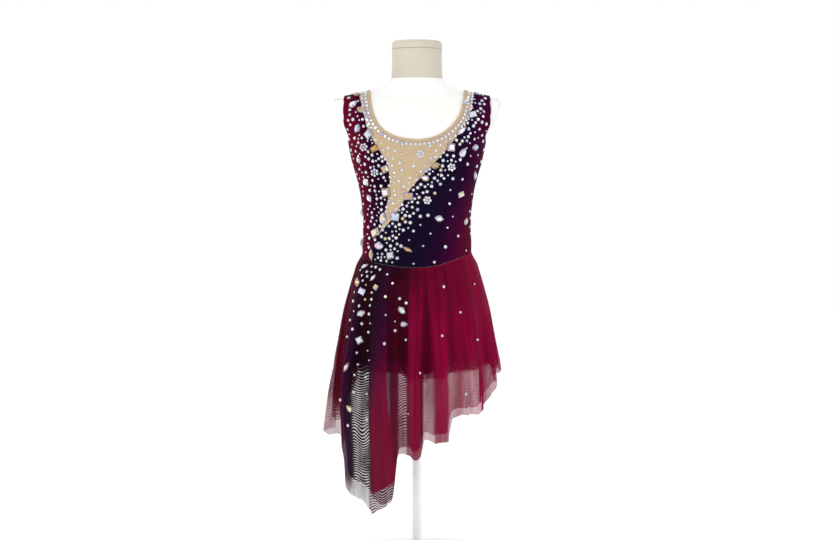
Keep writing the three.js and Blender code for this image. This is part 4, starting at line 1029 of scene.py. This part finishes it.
def cut_stone(outline, height, table=0.55, girdle=0.25, rim=1.07):
    """A faceted stone with a flat back: outline points round it, then its table."""
    o = np.array(outline, float)
    k = len(o)
    mid = (o + np.roll(o, -1, 0)) / 2
    low = np.c_[o * rim, np.zeros(k)]
    gir = np.c_[o, np.full(k, height * girdle)]
    tab = np.c_[mid * table, np.full(k, height)]
    v = np.concatenate([low, gir, tab])
    i = np.arange(k)
    j = (i + 1) % k
    f = [[a, b, k + b, k + a] for a, b in zip(i, j)]
    f += [[k + a, k + b, 2 * k + a] for a, b in zip(i, j)]
    f += [[2 * k + a, k + b, 2 * k + b] for a, b in zip(i, j)]
    f.append(list(2 * k + i))
    return v, f


ring = lambda k, r=1.0: [(r * math.cos(2 * math.pi * q / k), r * math.sin(2 * math.pi * q / k)) for q in range(k)]
ROUND = cut_stone(ring(8), 0.62, rim=1.17)
SHAPES = {
    "drop": cut_stone([(1.25, 0.0), (0.8, 0.32), (0.2, 0.66), (-0.4, 0.72), (-0.85, 0.4), (-1.0, 0.0),
                       (-0.85, -0.4), (-0.4, -0.72), (0.2, -0.66), (0.8, -0.32)], 0.5, 0.56),
    "navette": cut_stone([(1.35, 0.0), (0.8, 0.34), (0.2, 0.52), (-0.2, 0.52), (-0.8, 0.34), (-1.35, 0.0),
                          (-0.8, -0.34), (-0.2, -0.52), (0.2, -0.52), (0.8, -0.34)], 0.45, 0.58),
    "kite": cut_stone([(1.15, 0.0), (0.45, 0.62), (-0.2, 0.72), (-0.95, 0.0), (-0.2, -0.72), (0.45, -0.62)], 0.5, 0.55),
    "block": cut_stone([(0.95, 0.55), (0.8, 0.72), (-0.8, 0.72), (-0.95, 0.55), (-0.95, -0.55),
                        (-0.8, -0.72), (0.8, -0.72), (0.95, -0.55)], 0.48, 0.66),
    "square": cut_stone([(0.82, 0.66), (0.66, 0.82), (-0.66, 0.82), (-0.82, 0.66), (-0.82, -0.66),
                         (-0.66, -0.82), (0.66, -0.82), (0.82, -0.66)], 0.5, 0.62),
    "fan": cut_stone([(1.05, -0.25), (1.0, 0.25), (0.55, 0.62), (0.0, 0.75), (-0.55, 0.62), (-1.0, 0.25),
                      (-1.05, -0.25), (0.0, -0.85)], 0.45, 0.58),
}


class Stones:
    """Many stones as one mesh, each face with a tint of its own and a painted brightness that stands in for glints and
    shade.
    """

    def __init__(self, spark):
        self.v, self.f, self.tint, self.facet, self.count, self.spark = [], [], [], [], 0, spark

    def add(self, cut, size, p, n, angle, tint):
        v, f = cut
        a = np.cross([0.13, 0.2, 0.97], n)
        a /= max(np.linalg.norm(a), 1e-9)
        b = np.cross(n, a)
        c, s = math.cos(angle), math.sin(angle)
        u, w = a * c + b * s, b * c - a * s
        q = p + v[:, :1] * size * u + v[:, 1:2] * size * w + (v[:, 2:] * size + 0.05) * n
        base = self.count
        self.v.append(q)
        self.f += [[base + k for k in face] for face in f]
        k = len(f)
        spread = 0.24 if self.spark else 0.05
        self.tint.append(np.clip(tint + rng.normal(0, spread, k), 0, 1))
        m = (k - 1) // 3
        # painted light on the faces: random painted glints, a painted shadow on the ring round the foot, half the crown
        # faces painted darker, a bright table
        painted_light = rng.uniform(0.05, 1.0, k) if self.spark else rng.uniform(0.6, 1.0, k)
        painted_light[:m] = 0.05
        painted_light[m:2 * m] *= 0.55
        painted_light[-1] = rng.uniform(0.7, 1.0)
        self.facet.append(painted_light)
        self.count += len(v)

    def make(self, name):
        ob = add_object(name, np.concatenate(self.v), self.f, smooth_shade=False)
        for key, values in (("tint", self.tint), ("facet", self.facet)):
            a = ob.data.attributes.new(key, "FLOAT", "FACE")
            a.data.foreach_set("value", np.concatenate(values).astype(np.float32))
        return dress_up(ob, M_STONE)


def tint_small():
    t = rng.random()
    return rng.uniform(0, 0.42) if t < 0.88 else (rng.uniform(0.5, 0.72) if t < 0.95 else rng.uniform(0.78, 0.9))


def tint_large():
    t = rng.random()
    return rng.uniform(0.1, 0.5) if t < 0.5 else (rng.uniform(0.5, 0.66) if t < 0.66 else rng.uniform(0.76, 1.0))


def polyline(table):
    pts = np.array(table, float)
    return np.concatenate([np.linspace(a, b, 12)[:-1] for a, b in zip(pts[:-1], pts[1:])] + [pts[-1:]])


LINE_R, LINE_L, LINE_S = polyline(INSET_R), polyline(INSET_L), polyline(SCOOP_F)


def dist(line, x, z):
    return np.min(np.hypot(line[:, 0][None] - x[:, None], line[:, 1][None] - z[:, None]), axis=1)


def spacing(x, z):
    """Distance from one stone to the next at places seen from the front; 0 where there are none."""
    xr = np.interp(z, [q[1] for q in INSET_R[::-1]], [q[0] for q in INSET_R[::-1]])
    xl = np.interp(z, [q[1] for q in INSET_L[::-1]], [q[0] for q in INSET_L[::-1]])
    low = z <= 600.6
    meet = -70.3 - (600.6 - z) * 0.3
    xr, xl = np.where(low, meet, xr), np.where(low, meet, xl)
    dr, dl, ds = dist(LINE_R, x, z), dist(LINE_L, x, z), dist(LINE_S, x, z)
    right = 7.2 + 0.055 * np.maximum(0, dr - 14) + np.where(z < 700, 0.8, 0)
    strap = 8.0 + 0.06 * np.maximum(0, dl - 16)
    d = np.where(z < 590, np.minimum(dl, np.abs(x + 62 + (600 - z) * 0.2)), dl)
    left = np.where(d < 27, 7.3 + 0.03 * d, 8.1 + (d - 27) * 0.5)
    rim = np.abs(100 + (z - 560) * 0.12 - x)
    left = np.where((rim < 13) & (z > 600), np.minimum(left, 12.5), np.minimum(left, 30.0))
    left = np.where(z > 770, np.minimum(strap, left), left)
    near = np.minimum(dr, dl)
    nude = np.where(near < 10, 9.0, 12.5 + 0.2 * (near - 10))
    s = np.where(x < xr - 2, right, np.where(x > xl + 2, left, np.where(low, 0.0, nude)))
    scoop = np.interp(np.abs(x), [0, 21, 40, 57, 72, 82, 87.4, 89.5], [776, 778, 784, 795, 811, 828, 849, 872])
    inside = (np.abs(x) < 89.5) & (z > scoop - 2)
    return np.where(inside | ((ds < 16) & (z > 770)), 0.0, s)


class Taken:
    """What has been laid, found by cells of 16 mm."""

    def __init__(self):
        self.cells = {}

    def free(self, x, z, r, gap):
        i, j = int(x // 16), int(z // 16)
        k = 2 if gap > 16 else 1
        if gap > 32:
            k = 4
        for a in range(i - k, i + k + 1):
            for b in range(j - k, j + k + 1):
                for px, pz, pr in self.cells.get((a, b), ()):
                    if (px - x) ** 2 + (pz - z) ** 2 < max(r + pr + 0.5, gap) ** 2:
                        return False
        return True

    def lay(self, x, z, r):
        self.cells.setdefault((int(x // 16), int(z // 16)), []).append((x, z, r))


front = Taken()
BODICE_LIFT = 0.9 + CLOTH
small, large, neckrow = Stones(False), Stones(True), Stones(False)
surf = lambda e, z: on_body(e, z, BODICE_LIFT)


def put(bag, cut, size, x, z, angle, tint, lift=0.0):
    e, zz = on_front(np.array([x]), np.array([z]))
    p, n = surf(e, zz)[0], normal_of(form_point, e, zz)[0]
    bag.add(cut, size, p + n * lift, n, angle, tint)
    front.lay(x, z, size)


# large stones along the two edges of the inset, then a few spread over the panels
def along(line, t):
    i = t * (len(line) - 1)
    k = int(min(i, len(line) - 2))
    return line[k] + (line[k + 1] - line[k]) * (i - k)


KINDS = ["drop", "block", "kite", "square", "navette", "fan"]
for line, side, spots in ((LINE_R, -1, (0.07, 0.2, 0.33, 0.46, 0.58, 0.72, 0.86, 0.97)),
                          (LINE_L, 1, (0.05, 0.16, 0.27, 0.37, 0.46, 0.55, 0.65, 0.76, 0.88))):
    for i, t in enumerate(spots):
        x, z = along(line, min(1, max(0, t + rng.uniform(-0.025, 0.025))))
        x += side * rng.uniform(1.0, 9.0)
        if front.free(x, z, 9, 15):
            k = KINDS[int(rng.integers(0, 6))]
            put(large, SHAPES[k], rng.uniform(7.6, 10.2), x, z, rng.uniform(0, math.pi), tint_large(), 0.3)
spread = [(-98, 700), (-108, 745), (-91, 668), (-104, 640), (-88, 615), (-112, 800), (-96, 580), (-84, 566),
          (-70, 582), (104, 770), (113, 822), (84, 752), (36, 632), (76, 676), (92, 618), (-20, 573),
          (30, 700), (104, 712), (-52, 560), (-92, 775), (-118, 838), (98, 850)]
for x, z in spread:
    x, z = x + rng.uniform(-6, 6), z + rng.uniform(-7, 7)
    if front.free(x, z, 9, 17):
        k = KINDS[int(rng.integers(0, 6))]
        put(large, SHAPES[k], rng.uniform(6.8, 9.4), x, z, rng.uniform(0, math.pi), tint_large(), 0.3)

# flowers of seven small stones
flowers = [(-106, 822), (-79, 718), (-84, 662), (-90, 606), (-98, 760), (-28, 682), (8, 752), (62, 726),
           (86, 782), (112, 846), (20, 664)]
for x, z in flowers:
    x, z = x + rng.uniform(-4, 4), z + rng.uniform(-4, 4)
    if not front.free(x, z, 7.5, 15):
        continue
    turn0 = rng.uniform(0, 1)
    put(small, ROUND, 2.1, x, z, 0, tint_small())
    for q in range(6):
        a = turn0 + q * math.pi / 3
        put(small, ROUND, 2.55, x + 5.4 * math.cos(a), z + 5.4 * math.sin(a), a, rng.uniform(0, 0.3))

# small round stones everywhere else, closer where the spacing says so
N = 26000
X, Z = rng.uniform(-130, 130, N), rng.uniform(541, 872, N)
S = spacing(X, Z)
keep = (S > 0) & (np.abs(X) < fA(Z) - 0.4)
X, Z, S = X[keep], Z[keep], S[keep]
E, _ = on_front(X, Z)
depth = np.where((Z > 775) & (Z < 862.3), curve(ARMHOLE, 1)(Z), 0)
keep = (-form_point(E, Z)[:, 1] > depth + 4) & (Z > waist_z(E) + 5)
X, Z, S, E = X[keep], Z[keep], S[keep], E[keep]
PP, NN = surf(E, Z), normal_of(form_point, E, Z)
for i in range(len(X)):
    x, z, s = float(X[i]), float(Z[i]), float(S[i])
    r = 3.0 if s > 12 and z > 640 and -60 < x < 60 else float(rng.choice([1.8, 2.6, 3.1], p=[0.2, 0.4, 0.4]))
    if front.free(x, z, r, s * (0.88 if r < 2 else 1.0) * rng.uniform(0.84, 1.16)):
        small.add(ROUND, r, PP[i], NN[i], rng.uniform(0, 1), tint_small())
        front.lay(x, z, r)

# a row along the neck edge, and a second one on the straps
for d, step, r, limit in ((8.4, 8.6, 3.15, -1e9), (15.4, 8.4, 2.8, 795.0)):
    qe, qz = beside_neck(d)
    P = surf(qe, qz)
    NV = normal_of(form_point, qe, qz)
    ll = np.concatenate([[0], np.cumsum(np.linalg.norm(np.diff(P, axis=0), axis=-1))])
    count = int((ll[-1] + np.linalg.norm(P[0] - P[-1])) / step)
    for q in range(count):
        at = q / count * ll[-1]
        p = np.array([np.interp(at, ll, P[:, k]) for k in range(3)])
        n = np.array([np.interp(at, ll, NV[:, k]) for k in range(3)])
        n /= np.linalg.norm(n)
        if p[2] < limit:
            continue
        neckrow.add(ROUND, r * rng.uniform(0.94, 1.05), p, n, rng.uniform(0, 1),
                    rng.uniform(0, 0.42) if rng.random() < 0.85 else rng.uniform(0.5, 0.75))

# a plain scatter on the back
rear = Taken()
E, Z = rng.uniform(97, 263, 1500), rng.uniform(572, 850, 1500)
P = form_point(E, Z)
depth = np.where((Z > 775) & (Z < 862.3), curve(ARMHOLE, 2)(Z), 0)
keep = (P[:, 1] > depth + 6) & ~((Z > 822) & (np.abs(P[:, 0]) < 92))
E, Z = E[keep], Z[keep]
PP, NN = surf(E, Z), normal_of(form_point, E, Z)
for i in range(len(E)):
    x, z = float(PP[i, 0]), float(Z[i])
    side = abs(x) > 70
    gap = 14 if z > 780 else (20 if side else 36)
    if rear.free(x, z, 2.5, gap * rng.uniform(0.85, 1.2)):
        small.add(ROUND, float(rng.choice([2.0, 2.5])), PP[i], NN[i], rng.uniform(0, 1), tint_small())
        rear.lay(x, z, 2.5)

small.make("stones_small_bodice")
large.make("stones_large_bodice")
neckrow.make("stones_neck_rows")

# stones that fall down the dark folds of the skirt
skirt_small, skirt_large = Stones(False), Stones(True)
sk = lambda u, z: skirt_xyz(u, z, 0)[0]
sk_e = lambda u, z: skirt_xyz(u, z, 0)[1]
laid = Taken()
spots = np.array([(-58, 540), (-50, 531), (-60, 512), (-44, 520), (-52, 492), (-50, 452), (-38, 500),
                  (-49, 404), (-14, 462), (-11, 428), (-54, 356), (-51, 278)], float)
U = spots[:, 0] + rng.uniform(-2, 2, len(spots))
Z = np.minimum(spots[:, 1] + rng.uniform(-5, 5, len(spots)), waist_z(U) - 12)
PP, NN = sk(U, Z), normal_of(sk, U, Z)
for i in range(len(U)):
    if laid.free(PP[i, 0], PP[i, 2], 8, 15):
        skirt_large.add(SHAPES[KINDS[int(rng.integers(0, 6))]], rng.uniform(5.8, 8.6), PP[i] + NN[i] * 0.5, NN[i],
                        rng.uniform(0, math.pi), tint_large())
        laid.lay(PP[i, 0], PP[i, 2], 7)
N = 5200
pick = rng.random(N)
U = np.where(pick < 0.8, rng.normal(-51, 9, N), rng.uniform(-78, 78, N))
pick = rng.random(N)
Z = np.where(pick < 0.85, 545 - np.abs(rng.normal(0, 120, N)), rng.uniform(240, 545, N))
keep = (Z < waist_z(U) - 7) & (Z > 240) & (U > -80) & (U < 82)
keep &= Z > hem_z[0](wrap(sk_e(U, Z))) + 9
U, Z = U[keep], Z[keep]
inside = (U > -64) & (U < -38)
S = np.where(inside, 9.0 + 0.07 * (540 - Z), np.where((U > -76) & (U < -20), 15 + 0.14 * (540 - Z), 52 + 0.1 * (540 - Z)))
S = np.where((U > -18) & (U < -8) & (Z > 395) & (Z < 480), 12, S)
PP, NN = sk(U, Z), normal_of(sk, U, Z)
for i in range(len(U)):
    r = float(rng.choice([1.7, 2.3, 2.8], p=[0.25, 0.4, 0.35]))
    if laid.free(PP[i, 0], PP[i, 2], r, S[i] * rng.uniform(0.85, 1.2)):
        skirt_small.add(ROUND, r, PP[i] + NN[i] * 0.2, NN[i], rng.uniform(0, 1), tint_small())
        laid.lay(PP[i, 0], PP[i, 2], r)
skirt_small.make("stones_small_skirt")
skirt_large.make("stones_large_skirt")

# --------------------------------------------------------------------- stage
bpy.ops.mesh.primitive_plane_add(size=60, location=(0, 0, 0))
floor = bpy.context.object
floor.name = "floor"
m = Mat("floor_paper")
m.set(Base_Color=m.mix(m.fit(m.noise(3, 3), 0.3, 0.7, 0, 1), lin(246, 246, 246), lin(242, 242, 242)),
      Roughness=0.9, Specular_IOR_Level=0.1, Emission_Color=(1.0, 1.0, 1.0, 1.0), Emission_Strength=0.24)
floor.data.materials.append(m.m)

world = bpy.data.worlds.new("studio")
scene.world = world
world.use_nodes = True
wt = world.node_tree
sky = wt.nodes["Background"]
sky.inputs[0].default_value = (1, 1, 1, 1)
# white behind the dress, softer on the side the key light comes from
way, split, span = (wt.nodes.new("ShaderNode" + k) for k in ("TexCoord", "SeparateXYZ", "MapRange"))
wt.links.new(way.outputs["Generated"], split.inputs[0])
wt.links.new(split.outputs[1], span.inputs[0])
for i, v in zip((1, 2, 3, 4), (-1.0, -0.05, 0.44, 1.0)):
    span.inputs[i].default_value = v
wt.links.new(span.outputs[0], sky.inputs[1])


def area_light(name, loc, aim, size, power, colour=(1, 1, 1)):
    d = bpy.data.lights.new(name, "AREA")
    d.shape, d.size, d.energy, d.color = "DISK", size, power, colour
    o = bpy.data.objects.new(name, d)
    scene.collection.objects.link(o)
    o.location = loc
    o.rotation_mode = "QUATERNION"
    o.rotation_quaternion = (Vector(aim) - Vector(loc)).to_track_quat("-Z", "Y")
    return o


area_light("key", (-1.5, -2.2, 2.0), (0, 0, 0.6), 0.9, 20)
area_light("fill", (1.9, -2.0, 1.3), (0, 0, 0.6), 1.2, 8)
area_light("rear", (0.8, 2.4, 2.0), (0, 0, 0.6), 1.2, 7)

cd = bpy.data.cameras.new("camera")
cam = bpy.data.objects.new("camera", cd)
scene.collection.objects.link(cam)
scene.camera = cam
FAR = 5.0
cd.sensor_width = 36.0
cd.lens = 36.0 * FAR / (840 * 0.0019)
cam.location = (0.0057, -FAR, 0.533)
cam.rotation_euler = (math.pi / 2, 0, 0)
cd.clip_start, cd.clip_end = 0.1, 60
scene.view_settings.view_transform = "Standard"
scene.view_settings.look = "None"
scene.view_settings.exposure = 0.0
scene.view_settings.gamma = 1.0
